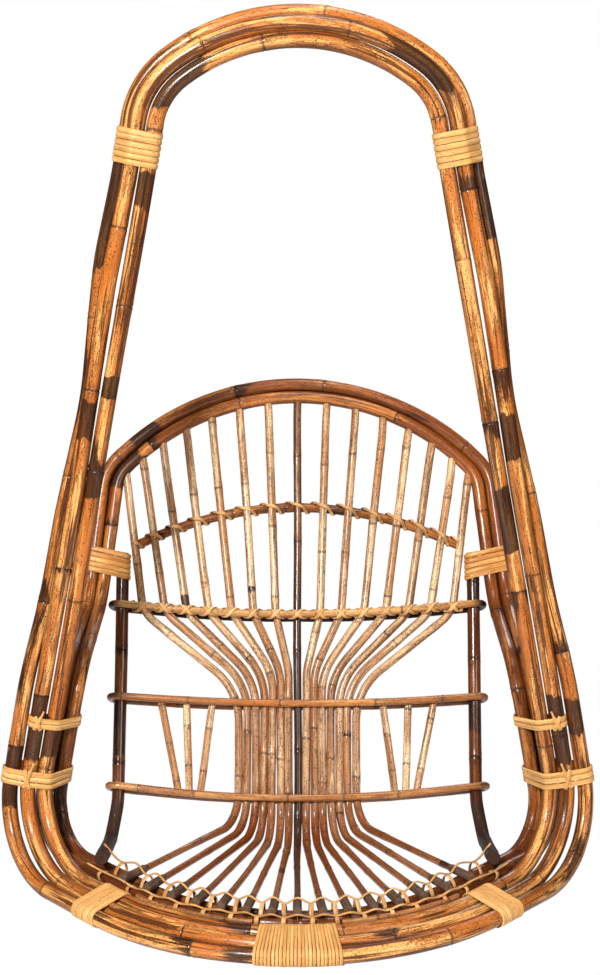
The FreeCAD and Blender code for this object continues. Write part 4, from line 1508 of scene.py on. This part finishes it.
@dataclass
class CrossCanes:
    """Looped rails, the bow behind the back, the short sticks and the thin edge canes."""

    lines: SettingOut
    shop: Workshop
    rails: tuple[tuple[str, float, float], ...] = (
        ("back_rail", 288.8, 14.5),
        ("upper_waist_rail", 171.9, 9.2),
        ("lower_waist_rail", 50.8, 16.0),
    )
    rail_seed: int = 90
    bow_seed: int = 95
    stick_seed: int = 110
    edge_seed: int = 130
    rear_drop: float = 4.0
    sag_share: float = 0.85
    bow_rise: float = 436.0
    bow_end_rise: float = 380.0
    bow_half: float = 221.0
    bow_share: float = 0.9
    stick_tops: tuple[float, ...] = (179.3, 145.0, 110.6)
    stick_feet: tuple[float, ...] = (153.8, 140.1, 126.4)
    edge_start: float = 50.0
    edge_end: float = 44.0
    edge_ease: float = 0.02
    turn_ease: float = 0.5
    rear_bend: float = 0.95
    # Painted shade on the turns and rear run of each rail, behind the spindles
    back_rail_rear_shade: float = 1.08
    waist_rail_rear_shade: float = 0.45
    front_runs: dict[str, BentPath] = field(default_factory=dict)
    bow_path: BentPath | None = None

    def _rail(self, name: str, middle_rise: float, sag: float, seed: int) -> None:
        """One rail: a cane looped round both posts.

        Args:
            name: Name of its node.
            middle_rise: Its middle, up the back.
            sag: How much higher its ends lie.
            seed: Start of the random sequence.
        """
        s = self.lines
        fall = sag / (1 - self.sag_share / 2)
        bend = self.sag_share * s.post_half_width**2 / fall
        high = middle_rise + sag
        out = s.post_half_width + s.rail_turn
        turn = s.rail_turn - self.turn_ease
        deep = s.rail_depth
        rear = deep + (s.post_depth + s.rail_turn - deep) * out / s.post_half_width
        left_end = (s.on_back(-out, high, -deep), turn)
        right_end = (s.on_back(out, high, -deep), turn)
        middle = (s.on_back(0, high - fall, -deep), bend)
        low = middle_rise - self.rear_drop
        reach = bend * math.tan(math.atan2(fall, out) / 2)
        inner = deep + (rear - deep) * reach / out
        corners = [
            (s.on_back(-s.butt, low, deep), 0.0),
            (s.on_back(-reach, low, inner), bend * self.rear_bend),
            (s.on_back(-out, high - self.rear_drop, rear), turn),
            left_end,
            middle,
            right_end,
            (s.on_back(out, high - self.rear_drop, rear), turn),
            (s.on_back(reach, low, inner), bend * self.rear_bend),
            (s.on_back(s.butt, low, deep), 0.0),
        ]
        self.front_runs[name] = BentPath([left_end, middle, right_end])
        path = BentPath(corners)
        half = path.total / 2
        post = s.post_half_width
        # The turns and rear run behind the spindles get painted shade in the stain mark
        finish, dark = RAIL_TAN, self.waist_rail_rear_shade
        if name == "back_rail":
            finish, dark = RAIL_STRAW, self.back_rail_rear_shade
        marks = {"stain": lambda run: dark * ease(np.abs(run - half), post - 4.0, post + 10.0)}
        growth = CaneGrowth(s.rail_r, (70.0, 130.0), sides=18, step=4.0, swell=0.06, wander=0.4, scars=0.1)
        cane = growth.grow(name.replace("rail", "rail_cane"), path, seed, marks=marks)
        self.shop.dress(cane, finish, name)

    def _bow(self) -> None:
        """The bow behind the spindles."""
        s = self.lines
        depth = s.spindle_r + s.clear + s.bow_r
        lift = (self.bow_rise - self.bow_end_rise) / (1 - self.bow_share / 2)
        bend = self.bow_share * math.hypot(self.bow_half, lift) * self.bow_half / lift
        self.bow_path = BentPath(
            [
                (s.on_back(-self.bow_half, self.bow_end_rise, depth), 0.0),
                (s.on_back(0, self.bow_end_rise + lift, depth), bend),
                (s.on_back(self.bow_half, self.bow_end_rise, depth), 0.0),
            ]
        )
        growth = CaneGrowth(s.bow_r, (60.0, 110.0), sides=18, step=4.0, swell=0.08, scars=0.2)
        cane = growth.grow("back_bow_cane", self.bow_path, self.bow_seed)
        self.shop.dress(cane, BOW_BROWN, "back_bow")

    def _sticks(self) -> None:
        """Short sticks between the waist rails."""
        s = self.lines
        rise = {name: (middle, sag) for name, middle, sag in self.rails}
        low, low_sag = rise["lower_waist_rail"]
        high, high_sag = rise["upper_waist_rail"]
        growth = CaneGrowth(s.stick_r, (45.0, 80.0), sides=16, step=3.0, swell=0.07, wander=0.4, scars=0.1)
        depth = s.stick_r - s.spindle_r
        for side in Side:
            for order, (top_x, foot_x) in enumerate(zip(self.stick_tops, self.stick_feet), start=1):
                foot_rise = low + low_sag * (foot_x / s.post_half_width) ** 2 - s.rail_r / 2
                top_rise = high + high_sag * (top_x / s.post_half_width) ** 2 + s.rail_r / 2
                foot = s.on_back(side.value * foot_x, foot_rise, depth)
                top = s.on_back(side.value * top_x, top_rise, depth)
                name = f"{side.name.lower()}_{order}"
                path = BentPath([(foot, 0.0), (top, 0.0)])
                stick = growth.grow(f"short_stick_{name}", path, self.stick_seed + 4 * order + side.value)
                self.shop.dress(stick, SPINDLE_PALE, f"side_stick_{name}")

    def _edges(self) -> None:
        """Thin canes in the groove between the seat ring and the rim."""
        s = self.lines
        to_ring = s.arch_r + s.edge_r + s.clear
        to_rim = s.hoop_r + s.edge_r + s.clear
        across = s.rim_radius - s.ring_outer_radius
        fall = s.ring_outer_level - s.rim_level
        apart = math.hypot(across, fall)
        along = (to_ring**2 - to_rim**2 + apart**2) / (2 * apart)
        lift = math.sqrt(to_ring**2 - along**2)
        radius = s.ring_outer_radius + (along * across + lift * fall) / apart
        level = s.ring_outer_level + (lift * across - along * fall) / apart
        first = math.degrees(math.asin(self.edge_start / radius))
        half = (self.edge_end - first) / 2

        def around(angle: float, reach: float) -> Vector:
            """Point of the groove at an angle from the front."""
            return Vector((reach * sin(angle), s.rim_centre_y - reach * cos(angle), level))

        growth = CaneGrowth(s.edge_r, (60.0, 120.0), sides=14, step=4.0, swell=0.03, wander=0.2)
        for side in Side:
            bend = (around(side.value * (first + half), radius / cos(half)), radius - self.edge_ease)
            ends = [(around(side.value * angle, radius), 0.0) for angle in (first, self.edge_end)]
            path = BentPath([ends[0], bend, ends[1]])
            name = side.name.lower()
            cane = growth.grow(f"edge_cane_{name}", path, self.edge_seed + side.value)
            self.shop.dress(cane, EDGE_TAN, f"rim_edge_cane_{name}")

    def build(self) -> None:
        """Builds and dresses all the cross canes."""
        for seed, (name, rise, sag) in enumerate(self.rails, start=self.rail_seed):
            self._rail(name, rise, sag, seed)
        self._bow()
        self._sticks()
        self._edges()


def strip_rows(
    points: np.ndarray, outward: np.ndarray, width: float, thick: float, shift: float, joined: bool
) -> tuple[np.ndarray, np.ndarray]:
    """Section of a split-cane strip along a line: flat below, crowned above, with soft edges.

    Args:
        points: Middle of the strip's underside.
        outward: Direction of its crown at each point.
        width: Width of the strip.
        thick: Height of the crown.
        shift: Shift of its grain.
        joined: Whether the strip closes on itself.

    Returns:
        Rows of points, and their straightened coordinates.
    """
    if joined:
        run = np.roll(points, -1, axis=0) - np.roll(points, 1, axis=0)
    else:
        run = np.gradient(points, axis=0)
    run /= np.linalg.norm(run, axis=1)[:, None] + TINY
    crown = outward - run * np.sum(outward * run, axis=1)[:, None]
    crown /= np.linalg.norm(crown, axis=1)[:, None] + TINY
    across = np.cross(run, crown)
    x = STRIP_PROFILE[:, 0] * width
    y = STRIP_PROFILE[:, 1] * thick
    rows = points[:, None, :] + across[:, None, :] * x[None, :, None] + crown[:, None, :] * y[None, :, None]
    lengths = np.r_[0.0, np.cumsum(np.linalg.norm(np.diff(points, axis=0), axis=1))]
    cane = np.zeros(rows.shape)
    cane[..., 0] = lengths[:, None] * MM + shift
    cane[..., 1] = x * MM
    cane[..., 2] = y * MM
    return rows, cane


def smooth_line(points: Sequence[Vector], per_span: int) -> np.ndarray:
    """Smooth line through points.

    Args:
        points: Points that the line goes through.
        per_span: Samples from one point to the next.

    Returns:
        Points along the line.
    """
    given = stacked(points)
    last = len(given) - 1
    t = (np.arange(per_span) / per_span)[:, None]
    out = []
    for n in range(last):
        a, b, c, d = (given[min(max(i, 0), last)] for i in range(n - 1, n + 3))
        square = (2 * a - 5 * b + 4 * c - d) * t**2
        cube = (3 * b - a - 3 * c + d) * t**3
        out.append(0.5 * (2 * b + (c - a) * t + square + cube))
    out.append(given[-1:])
    return np.concatenate(out)


@dataclass
class Binding:
    """A strip wound round a bundle of canes, turn beside turn."""

    bundle: list[tuple[BentPath, float]]
    turns: int
    plane_at: Callable[[float], Plane]
    away: Vector
    slack: float = 0.0
    width: float = 6.5
    thick: float = 1.7
    samples: int = 96
    clear: float = 0.25
    loose: float = 0.3
    nudge: float = 0.025
    step_over: float = 0.86
    least_step: float = 0.15
    grain_shift: float = 3.1

    def _circles(self, turn: float) -> tuple[Vector, Vector, Vector, list[tuple[float, float, float]]]:
        """Canes cut by the plane of one turn.

        Args:
            turn: Number of the turn.

        Returns:
            The plane's origin and its two directions, and each cane's place and radius in it.
        """
        origin, axis = self.plane_at(turn)
        across = (self.away - axis * self.away.dot(axis)).normalized()
        side = axis.cross(across)
        circles = []
        for path, radius in self.bundle:
            point = path.cut(origin, axis) - origin
            circles.append((point.dot(across), point.dot(side), radius + self.clear + self.slack))
        return origin, across, side, circles

    def line(self, chance: np.random.Generator) -> tuple[np.ndarray, np.ndarray]:
        """Underside of the strip over all its turns.

        Args:
            chance: The random sequence.

        Returns:
            Points of the underside, and the outward direction at each.
        """
        points, outward = [], []
        angles = np.linspace(0.0, 2 * math.pi, self.samples, endpoint=False)
        for turn in range(self.turns):
            shift = chance.uniform(-self.nudge, self.nudge)
            lift = chance.uniform(0.0, self.loose)
            origin, across, side, circles = self._circles(float(turn))
            onward = self.plane_at(turn + 1.0)[0] - origin
            for angle in angles:
                reach = [x * math.cos(angle) + y * math.sin(angle) + r for x, y, r in circles]
                x, y, r = circles[reach.index(max(reach))]
                share = float(ease(np.array(angle / (2 * math.pi)), self.step_over, 1.0)) + shift
                normal = across * math.cos(angle) + side * math.sin(angle)
                middle = origin + across * x + side * y
                points.append(middle + normal * (r + lift) + onward * share)
                outward.append(normal)
        return stacked(points), stacked(outward)

    def build(self, name: str, seed: int, mirror: bool) -> bpy.types.Object:
        """Builds the strip, on the right by its mirror image.

        Args:
            name: Name of the piece.
            seed: Start of the random sequence.
            mirror: Whether to turn the left strip into a right one.

        Returns:
            The new object.
        """
        points, outward = self.line(np.random.default_rng(seed))
        if mirror:
            points, outward = mirrored(points), mirrored(outward)
        keep = np.r_[True, np.linalg.norm(np.diff(points, axis=0), axis=1) > self.least_step]
        shift = self.grain_shift * seed
        rows, cane = strip_rows(points[keep], outward[keep], self.width, self.thick, shift, False)
        return loft(name, rows, cane, {"tone": np.random.default_rng(seed + 1).uniform(0, 1)}, False)


@dataclass
class Bindings:
    """All the strips that bind the canes."""

    lines: SettingOut
    shop: Workshop
    hoop: Hoop
    arch: BackArch
    posts: SidePosts
    seed: int = 200
    pitch: float = 6.8
    top_z: float = -92.0
    side_rise: float = 344.4
    upper_tie_z: float = -790.2
    lower_tie_z: float = -854.0
    corner_half: float = 214.0
    top_turns: int = 6
    side_turns: int = 5
    side_tilt: float = 0.10
    upper_turns: int = 2
    lower_turns: int = 3
    corner_turns: int = 6
    centre_turns: int = 12
    split: int = 2
    side_slack: float = 0.4
    upper_slack: float = 0.5
    lower_slack: float = 0.8
    strip_thick: float = 1.6
    fine_thick: float = 1.4
    fine_overlap: float = 0.2

    def _along(self, start: Vector, axis: Vector, split: int = 1) -> Callable[[float], Plane]:
        """Planes of turns set along a straight line, with each turn split into narrower ones."""
        back = (split - 1) / 2
        return lambda turn: (start + axis * ((turn - back) * self.pitch / split), axis)

    def plans(self) -> dict[str, Binding]:
        """Every binding of the left side and the centre.

        Returns:
            The bindings by node name.
        """
        s = self.lines
        hoop = [(self.hoop.paths[place], s.hoop_r) for place in Place]
        arch = [(self.arch.paths[place], s.arch_r) for place in Place]
        post = [(self.posts.paths[Side.LEFT], s.post_r)]
        down = Vector((-sin(s.leg_lean), 0, -cos(s.leg_lean)))
        rear = Vector((0, 1, 0))
        outward_rear = Vector((-1, 1, 0))
        below = Vector((0, 0, -1))
        plans = {}

        start = s.leg_point(self.top_z, s.hoop_step, s.hoop_r / 2)
        plans["top_wraps"] = Binding(hoop, self.top_turns, self._along(start, down), rear)

        shoulder = s.arch_corners(0.0, 0.0)[0][0]
        arm = s.arm_corners(0.0, 0.0)[1][0]
        up_side = (shoulder - arm).normalized()
        start = arm + up_side * ((self.side_rise - s.arm_rise) / up_side.dot(s.back_up))
        tilted = (up_side + Vector((self.side_tilt, 0, 0))).normalized()
        start -= (tilted - up_side) * (self.pitch * (self.side_turns - 1) / 2)
        planes = self._along(start, tilted)
        plans["side_wraps"] = Binding(arch + post, self.side_turns, planes, s.back_rear, self.side_slack)

        planes = self._along(s.leg_point(self.upper_tie_z, 0.0, s.hoop_r), down)
        bundle = hoop[:2] + arch
        plans["upper_ties"] = Binding(bundle, self.upper_turns, planes, outward_rear, self.upper_slack)
        planes = self._along(s.leg_point(self.lower_tie_z, s.hoop_step, s.hoop_r), down)
        plans["lower_ties"] = Binding(hoop + arch, self.lower_turns, planes, outward_rear, self.lower_slack)

        radius = s.rim_radius + s.rim_plan_step
        level = s.rim_level - s.rim_step
        start = Vector((-self.corner_half, s.straight_y(radius, self.corner_half), level))
        run = Vector((-cos(s.rim_half), sin(s.rim_half), 0))
        fine = {"width": self.pitch / self.split + self.fine_overlap, "thick": self.fine_thick}
        planes = self._along(start, run, self.split)
        plans["corner_wraps"] = Binding(hoop, self.corner_turns * self.split, planes, below, **fine)

        turns = self.centre_turns * self.split
        step = math.degrees(self.pitch / (s.rim_radius - s.hoop_r - self.strip_thick)) / self.split

        def round_rim(turn: float) -> Plane:
            """Plane of a turn at the middle of the rim.

            Args:
                turn: Number of the turn.

            Returns:
                The plane's origin and its normal.
            """
            angle = (turn - (turns - 1) / 2) * step
            point = Vector((radius * sin(angle), s.rim_centre_y - radius * cos(angle), level))
            return point, Vector((cos(angle), sin(angle), 0))

        plans["centre_wrap"] = Binding(hoop, turns, round_rim, below, **fine)
        return plans

    def build(self) -> None:
        """Builds and dresses every binding."""
        for seed, (node, plan) in enumerate(self.plans().items(), start=self.seed):
            if node == "centre_wrap":
                self.shop.dress(plan.build("centre_binding", seed, False), STRIP_STRAW, node)
                continue
            finish = STRIP_ORANGE if node == "side_wraps" else STRIP_STRAW
            for side in Side:
                name = f"{node}_{side.name.lower()}"
                self.shop.dress(plan.build(name, seed, side is Side.RIGHT), finish, node)


def lace(
    name: str, line: np.ndarray, outward: np.ndarray, size: tuple[float, float], seed: int,
    joined: bool = False,
) -> bpy.types.Object:
    """A thin strand along a line.

    Args:
        name: Name of the piece.
        line: Middle of the strand.
        outward: Direction of its crown at each point.
        size: Width and thickness of the strand.
        seed: Shift of its grain and tone.
        joined: Whether the strand closes on itself.

    Returns:
        The new object.
    """
    rows, cane = strip_rows(line, outward, *size, LACE_SHIFT * seed, joined)
    tone = float(np.random.default_rng(seed).uniform(0, 1))
    return loft(name, rows, cane, {"tone": tone}, joined)


@dataclass
class Knots:
    """Crossed strips and a free tail where each tie was made fast."""

    bindings: Bindings
    places: tuple[tuple[str, float], ...] = (("upper_ties", 0.22), ("lower_ties", 0.38))
    seed: int = 340
    width: float = 4.6
    thick: float = 1.4
    slant: float = 9.0
    bulge: float = 2.2
    clear: float = 0.4
    reach: float = 3.0
    facing: float = -0.6
    tail: float = 3.0
    tail_width: float = 0.55
    tail_lean: float = 3.0
    tail_lift: float = 1.2
    tail_fall: float = 1.4

    def _strips(
        self, plan: Binding, share: float, height: float
    ) -> Iterator[tuple[str, list[Vector], Vector, float]]:
        """Lines of one knot on the left.

        Args:
            plan: The tie.
            share: Place of the knot across the front of the tie.
            height: Height of the whole tie.

        Yields:
            Name, line, outward direction and width of each strip.
        """
        points, outward = plan.line(np.random.default_rng(1))
        points, outward = points[: plan.samples], outward[: plan.samples]
        front = np.flatnonzero(outward[:, 1] < self.facing)
        xs = points[front, 0]
        pick = front[np.argmin(np.abs(xs - (xs.min() + share * np.ptp(xs))))]
        origin, axis = plan.plane_at((plan.turns - 1) / 2)
        spot = Vector(points[pick]) + origin - plan.plane_at(0.0)[0]
        out = Vector(outward[pick])
        beside = out.cross(axis).normalized()
        for name, hand in (("over", 1.0), ("under", -0.7)):
            line = []
            for t in np.linspace(-0.5, 0.5, 15):
                lift = self.clear + (self.bulge + 0.5 * hand) * math.cos(math.pi * t)
                line.append(spot + axis * (height * t) + beside * (hand * self.slant * t) + out * lift)
            yield name, line, out, self.width
        tail = []
        for t in np.linspace(0.0, 1.6, 12):
            drop = height / 2 * t + self.tail * max(0.0, t - 0.6)
            lift = self.bulge + self.tail_lift - self.tail_fall * t
            tail.append(spot - axis * drop + beside * (self.tail_lean * t) + out * lift)
        yield "tail", tail, out, self.width * self.tail_width

    def build(self) -> None:
        """Builds and dresses the knots of both sides."""
        plans = self.bindings.plans()
        for seed, (node, share) in enumerate(self.places, start=self.seed):
            plan = plans[node]
            height = plan.turns * self.bindings.pitch + self.reach
            for part, points, out, width in self._strips(plan, share, height):
                for side in Side:
                    line = stacked(points)
                    facing = np.tile(tuple(out), (len(line), 1))
                    if side is Side.RIGHT:
                        line, facing = mirrored(line), mirrored(facing)
                    name = f"{node}_knot_{part}_{side.name.lower()}"
                    self.bindings.shop.dress(lace(name, line, facing, (width, self.thick), seed), STRIP_STRAW)


@dataclass(frozen=True)
class SeatRow:
    """One lacing row of the seat, along a seat ring cane of this radius and level.

    Over a spindle the strand lies at the crest, and between two spindles at the dip: how far in front
    of the cane, and how far above it. Over the posts it lies higher by the lift.
    """

    name: str
    radius: float
    level: float
    crest: tuple[float, float]
    dip: tuple[float, float]
    seed: int
    lift: float = 0.0


@dataclass
class Lacing:
    """Thin strands: two rows on the seat ring, two strands on the back rail and one on the bow."""

    lines: SettingOut
    shop: Workshop
    fan: SpindleFan
    cross: CrossCanes
    upper_seed: int = 260
    lower_seed: int = 280
    rail_seed: int = 300
    bow_seed: int = 320
    strand: tuple[float, float] = (2.6, 1.5)
    strand_up: tuple[float, float, float] = (0.0, -0.35, 0.94)
    band: tuple[float, float] = (5.2, 1.2)
    band_samples: int = 36
    band_clear: float = 0.3
    band_sunk: float = 0.6
    rail: tuple[float, float] = (4.6, 1.3)
    rail_clear: float = 0.5
    rail_over: float = 0.4
    rail_rise: float = 290.0
    rail_samples: int = 24
    bow: tuple[float, float] = (4.4, 1.2)
    bow_samples: int = 700
    upper_fronts: tuple[float, float] = (-6.0, -3.0)
    upper_clear: float = 2.0
    lower_clear: float = 3.0
    lower_crest: float = 7.0
    lower_dip_front: float = 7.5
    dip_fall: float = 5.0
    post_lift: float = 5.8

    def _band(self, row: SeatRow, x: float, tilt: float) -> tuple[np.ndarray, np.ndarray]:
        """One band round a seat ring cane and its strand.

        Args:
            row: The row.
            x: Place of the band, from the middle.
            tilt: How far its top is shifted along the cane.

        Returns:
            Points of the band, and the outward direction at each.
        """
        s = self.lines
        slope = s.curve_y(row.radius, x + 0.5) - s.curve_y(row.radius, x - 0.5)
        ahead = Vector((1.0, slope, 0)).normalized()
        side = Vector((-ahead.y, ahead.x, 0))
        centre = Vector((x, s.curve_y(row.radius, x), row.level))
        wide = s.arch_r + self.band_clear
        high = max(wide, row.dip[1] - self.band_sunk)
        ring, out = [], []
        for angle in np.linspace(0, 2 * math.pi, self.band_samples, endpoint=False):
            over = math.sin(angle)
            beside = side * (wide * math.cos(angle) - row.dip[0] * max(0.0, over))
            rise = Vector((0, 0, high if angle < math.pi else wide)) * over
            ring.append(centre + beside + rise + ahead * (tilt * over))
            out.append(side * math.cos(angle) + Vector((0, 0, 1)) * over)
        return stacked(ring), stacked(out)

    def _row(self, row: SeatRow) -> None:
        """One row over the spindle ends, with a band round the ring between each two.

        Args:
            row: The row.
        """
        s = self.lines
        chance = np.random.default_rng(row.seed)
        xs = [order * self.fan.ring_pitch for order in range(-self.fan.per_side, self.fan.per_side + 1)]
        xs = [-s.post_ring_half_width, *xs, s.post_ring_half_width]
        scale = row.radius / s.ring_inner_radius
        points = []
        bands = []
        for n, x in enumerate(xs):
            here = x * scale
            over = row.radius + row.crest[0] + chance.uniform(-0.8, 0.8)
            raised = row.lift if n in (0, len(xs) - 1) else 0.0
            points.append(Vector((here, s.curve_y(over, here), row.level + row.crest[1] + raised)))
            if n + 1 < len(xs):
                middle = (x + xs[n + 1]) / 2 * scale + chance.uniform(-1.5, 1.5)
                low = row.level + row.dip[1] + chance.uniform(-0.6, 0.8)
                points.append(Vector((middle, s.curve_y(row.radius + row.dip[0], middle), low)))
                bands.append(middle)
        line = smooth_line(points, 10)
        up = np.tile(self.strand_up, (len(line), 1))
        self.shop.dress(lace(f"{row.name}_strand", line, up, self.strand, row.seed), LACE_STRAW)
        for n, x in enumerate(bands):
            ring, out = self._band(row, x, chance.uniform(-2.0, 2.0))
            band = lace(f"{row.name}_band_{n + 1:02d}", ring, out, self.band, row.seed + n, True)
            self.shop.dress(band, LACE_STRAW)

    def _rail_lacing(self) -> None:
        """Two strands that cross over each spindle and twist round the back rail's front run."""
        s = self.lines
        run = self.cross.front_runs["back_rail"]
        spans = 2 * self.fan.per_side + 1
        for hand, name in ((1, "rising"), (-1, "falling")):
            reach = s.rail_r + self.rail_clear + self.rail_over * (hand > 0)
            line, out = [], []
            for n in range(spans * self.rail_samples + 1):
                turn = n / self.rail_samples - spans / 2
                x = turn * self.fan.rail_pitch
                length = run.nearest_length(s.on_back(x, self.rail_rise, -s.rail_depth))
                centre = Vector(run.at(np.array([length]))[0])
                centre.x = x
                angle = 2 * math.pi * turn * hand
                normal = -s.back_rear * math.cos(angle) + s.back_up * math.sin(angle)
                line.append(centre + normal * reach)
                out.append(normal)
            seed = self.rail_seed + hand
            strand = lace(f"back_rail_lacing_{name}", stacked(line), stacked(out), self.rail, seed)
            self.shop.dress(strand, LACE_STRAW)

    def _crossings(self, deep: float) -> list[Vector]:
        """Where the bow passes behind each spindle, moved forward onto the spindles.

        Args:
            deep: Distance from the spindles back to the bow.

        Returns:
            The points, from left to right.
        """
        path = self.cross.bow_path
        spots = path.at(np.linspace(0.0, path.total, self.bow_samples))
        ahead = spots - np.array(self.lines.back_rear * deep)
        found = []
        for order in range(-self.fan.per_side, self.fan.per_side + 1):
            spindle = self.fan.paths[order]
            spots = spindle.at(np.linspace(0.0, spindle.total, self.bow_samples))
            gaps = np.linalg.norm(spots[:, None, :] - ahead[None, :, :], axis=2)
            found.append(Vector(ahead[np.unravel_index(np.argmin(gaps), gaps.shape)[1]]))
        return found

    def _bow_lacing(self) -> None:
        """One strand that crosses each spindle and twists round the bow between them."""
        s = self.lines
        deep = s.spindle_r + s.clear + s.bow_r
        # Share of the way to the next spindle, rise and depth
        turns = (
            (0.00, 0.6, -s.spindle_r - 2.4),
            (0.12, -1.0, -s.spindle_r - 1.7),
            (0.225, -2.6, -1.8),
            (0.30, -4.5, deep - s.bow_r + 0.5),
            (0.38, -s.bow_r - 1.0, deep),
            (0.48, -1.0, deep + s.bow_r + 0.8),
            (0.56, s.bow_r + 1.0, deep + 1.0),
            (0.68, s.bow_r + 0.6, deep - s.bow_r + 0.5),
            (0.775, 3.6, -1.8),
            (0.88, 2.0, -s.spindle_r - 1.7),
        )
        crossings = self._crossings(deep)
        points, out = [], []
        for here, after in zip(crossings, crossings[1:]):
            for share, rise, depth in turns:
                middle = deep if 0.25 < share < 0.75 else 0.0
                points.append(here.lerp(after, share) + s.back_up * rise + s.back_rear * depth)
                out.append(s.back_up * rise + s.back_rear * (depth - middle))
        strand = lace("bow_lacing", smooth_line(points, 6), smooth_line(out, 6), self.bow, self.bow_seed)
        self.shop.dress(strand, LACE_STRAW)

    def build(self) -> None:
        """Builds and dresses all the lacing."""
        s = self.lines
        high = s.arch_r + 2 * s.spindle_r + self.upper_clear
        crest, dip = self.upper_fronts
        upper = SeatRow(
            "seat_upper", s.ring_inner_radius, s.ring_level, (crest, high), (dip, high - self.dip_fall),
            self.upper_seed, self.post_lift,
        )
        front = s.arch_r / 2 + s.end_reach + self.lower_clear
        low = s.arch_r + self.lower_crest
        lower = SeatRow(
            "seat_lower", s.ring_outer_radius, s.ring_outer_level, (front, low),
            (self.lower_dip_front, low - self.dip_fall), self.lower_seed,
        )
        self._row(upper)
        self._row(lower)
        self._rail_lacing()
        self._bow_lacing()


# Studio


@dataclass(frozen=True)
class Lamp:
    """A soft square lamp, in metres and watts."""

    name: str
    at: tuple[float, float, float]
    power: float
    size: float


@dataclass
class Studio:
    """Pale floor, soft light and the camera."""

    camera_at: tuple[float, float, float] = (0.0, -2.100, -0.080)
    pitch_down: float = 11.4
    lens: float = 67.05
    shift_x: float = 0.00256
    floor_z: float = -1.35
    floor_reach: float = 30.0
    floor_tone: float = 0.85
    ambient: float = 0.10
    aim: tuple[float, float, float] = (0.0, 0.0, -0.5)
    lamps: tuple[Lamp, ...] = (
        Lamp("key", (-0.9, -2.4, 0.9), 117.0, 0.5),
        Lamp("fill", (1.8, -2.2, 0.2), 24.0, 0.9),
        Lamp("top", (0.2, 0.0, 1.7), 24.0, 0.9),
        Lamp("rear", (0.6, 2.3, 0.5), 16.0, 0.9),
    )

    def _world(self) -> None:
        """Even light all round, white where the camera sees it."""
        world = bpy.data.worlds.new("studio")
        bpy.context.scene.world = world
        world.use_nodes = True
        w = Wiring(world.node_tree)
        path = w.add("ShaderNodeLightPath")
        strength = w.span(path.outputs["Is Camera Ray"], 0.0, 1.0, (self.ambient, 1.0))
        light = w.add("ShaderNodeBackground", {"Color": (1, 1, 1, 1), "Strength": strength})
        w.add("ShaderNodeOutputWorld", {"Surface": light.outputs[0]})

    def _lamp(self, lamp: Lamp) -> None:
        """One soft lamp aimed at the middle of the chair.

        Args:
            lamp: The lamp.
        """
        data = bpy.data.lights.new(lamp.name, "AREA")
        data.energy = lamp.power
        data.size = lamp.size
        piece = bpy.data.objects.new(lamp.name, data)
        piece.location = lamp.at
        piece.rotation_euler = (Vector(self.aim) - Vector(lamp.at)).to_track_quat("-Z", "Y").to_euler()
        bpy.context.scene.collection.objects.link(piece)

    def _floor(self) -> None:
        """A pale floor under the hanging chair."""
        mesh = bpy.data.meshes.new("floor")
        corners = [(-1, -1), (1, -1), (1, 1), (-1, 1)]
        points = [(x * self.floor_reach, y * self.floor_reach, self.floor_z) for x, y in corners]
        mesh.from_pydata(points, [], [(0, 1, 2, 3)])
        floor = bpy.data.objects.new("floor", mesh)
        bpy.context.scene.collection.objects.link(floor)
        material = bpy.data.materials.new("pale_floor")
        material.use_nodes = True
        w = Wiring(material.node_tree)
        matt = w.add("ShaderNodeBsdfDiffuse", {"Color": (*[self.floor_tone] * 3, 1)})
        white = w.add("ShaderNodeEmission", {"Color": (1, 1, 1, 1), "Strength": 1.0})
        path = w.add("ShaderNodeLightPath")
        shaders = {0: path.outputs["Is Camera Ray"], 1: matt.outputs[0], 2: white.outputs[0]}
        blend = w.add("ShaderNodeMixShader", shaders)
        w.add("ShaderNodeOutputMaterial", {"Surface": blend.outputs[0]})
        mesh.materials.append(material)

    def build(self) -> None:
        """Builds the studio round the chair."""
        self._world()
        self._floor()
        for lamp in self.lamps:
            self._lamp(lamp)
        data = bpy.data.cameras.new("camera")
        data.lens = self.lens
        data.shift_x = self.shift_x
        camera = bpy.data.objects.new("camera", data)
        camera.location = self.camera_at
        camera.rotation_euler = (math.radians(90 - self.pitch_down), 0, 0)
        bpy.context.scene.collection.objects.link(camera)
        bpy.context.scene.camera = camera
        bpy.context.scene.view_settings.view_transform = "Standard"


def main() -> None:
    """Builds the chair and the studio."""
    logging.basicConfig(level=logging.INFO, format="%(name)s %(message)s")
    shop = Workshop()
    lines = SettingOut()
    hoop = Hoop(lines, shop)
    hoop.build()
    arch = BackArch(lines, shop)
    arch.build()
    fan = SpindleFan(lines, shop)
    fan.build()
    posts = SidePosts(lines, shop)
    posts.build()
    cross = CrossCanes(lines, shop)
    cross.build()
    bindings = Bindings(lines, shop, hoop, arch, posts)
    bindings.build()
    Knots(bindings).build()
    Lacing(lines, shop, fan, cross).build()
    Studio().build()


if __name__ == "__main__":
    main()
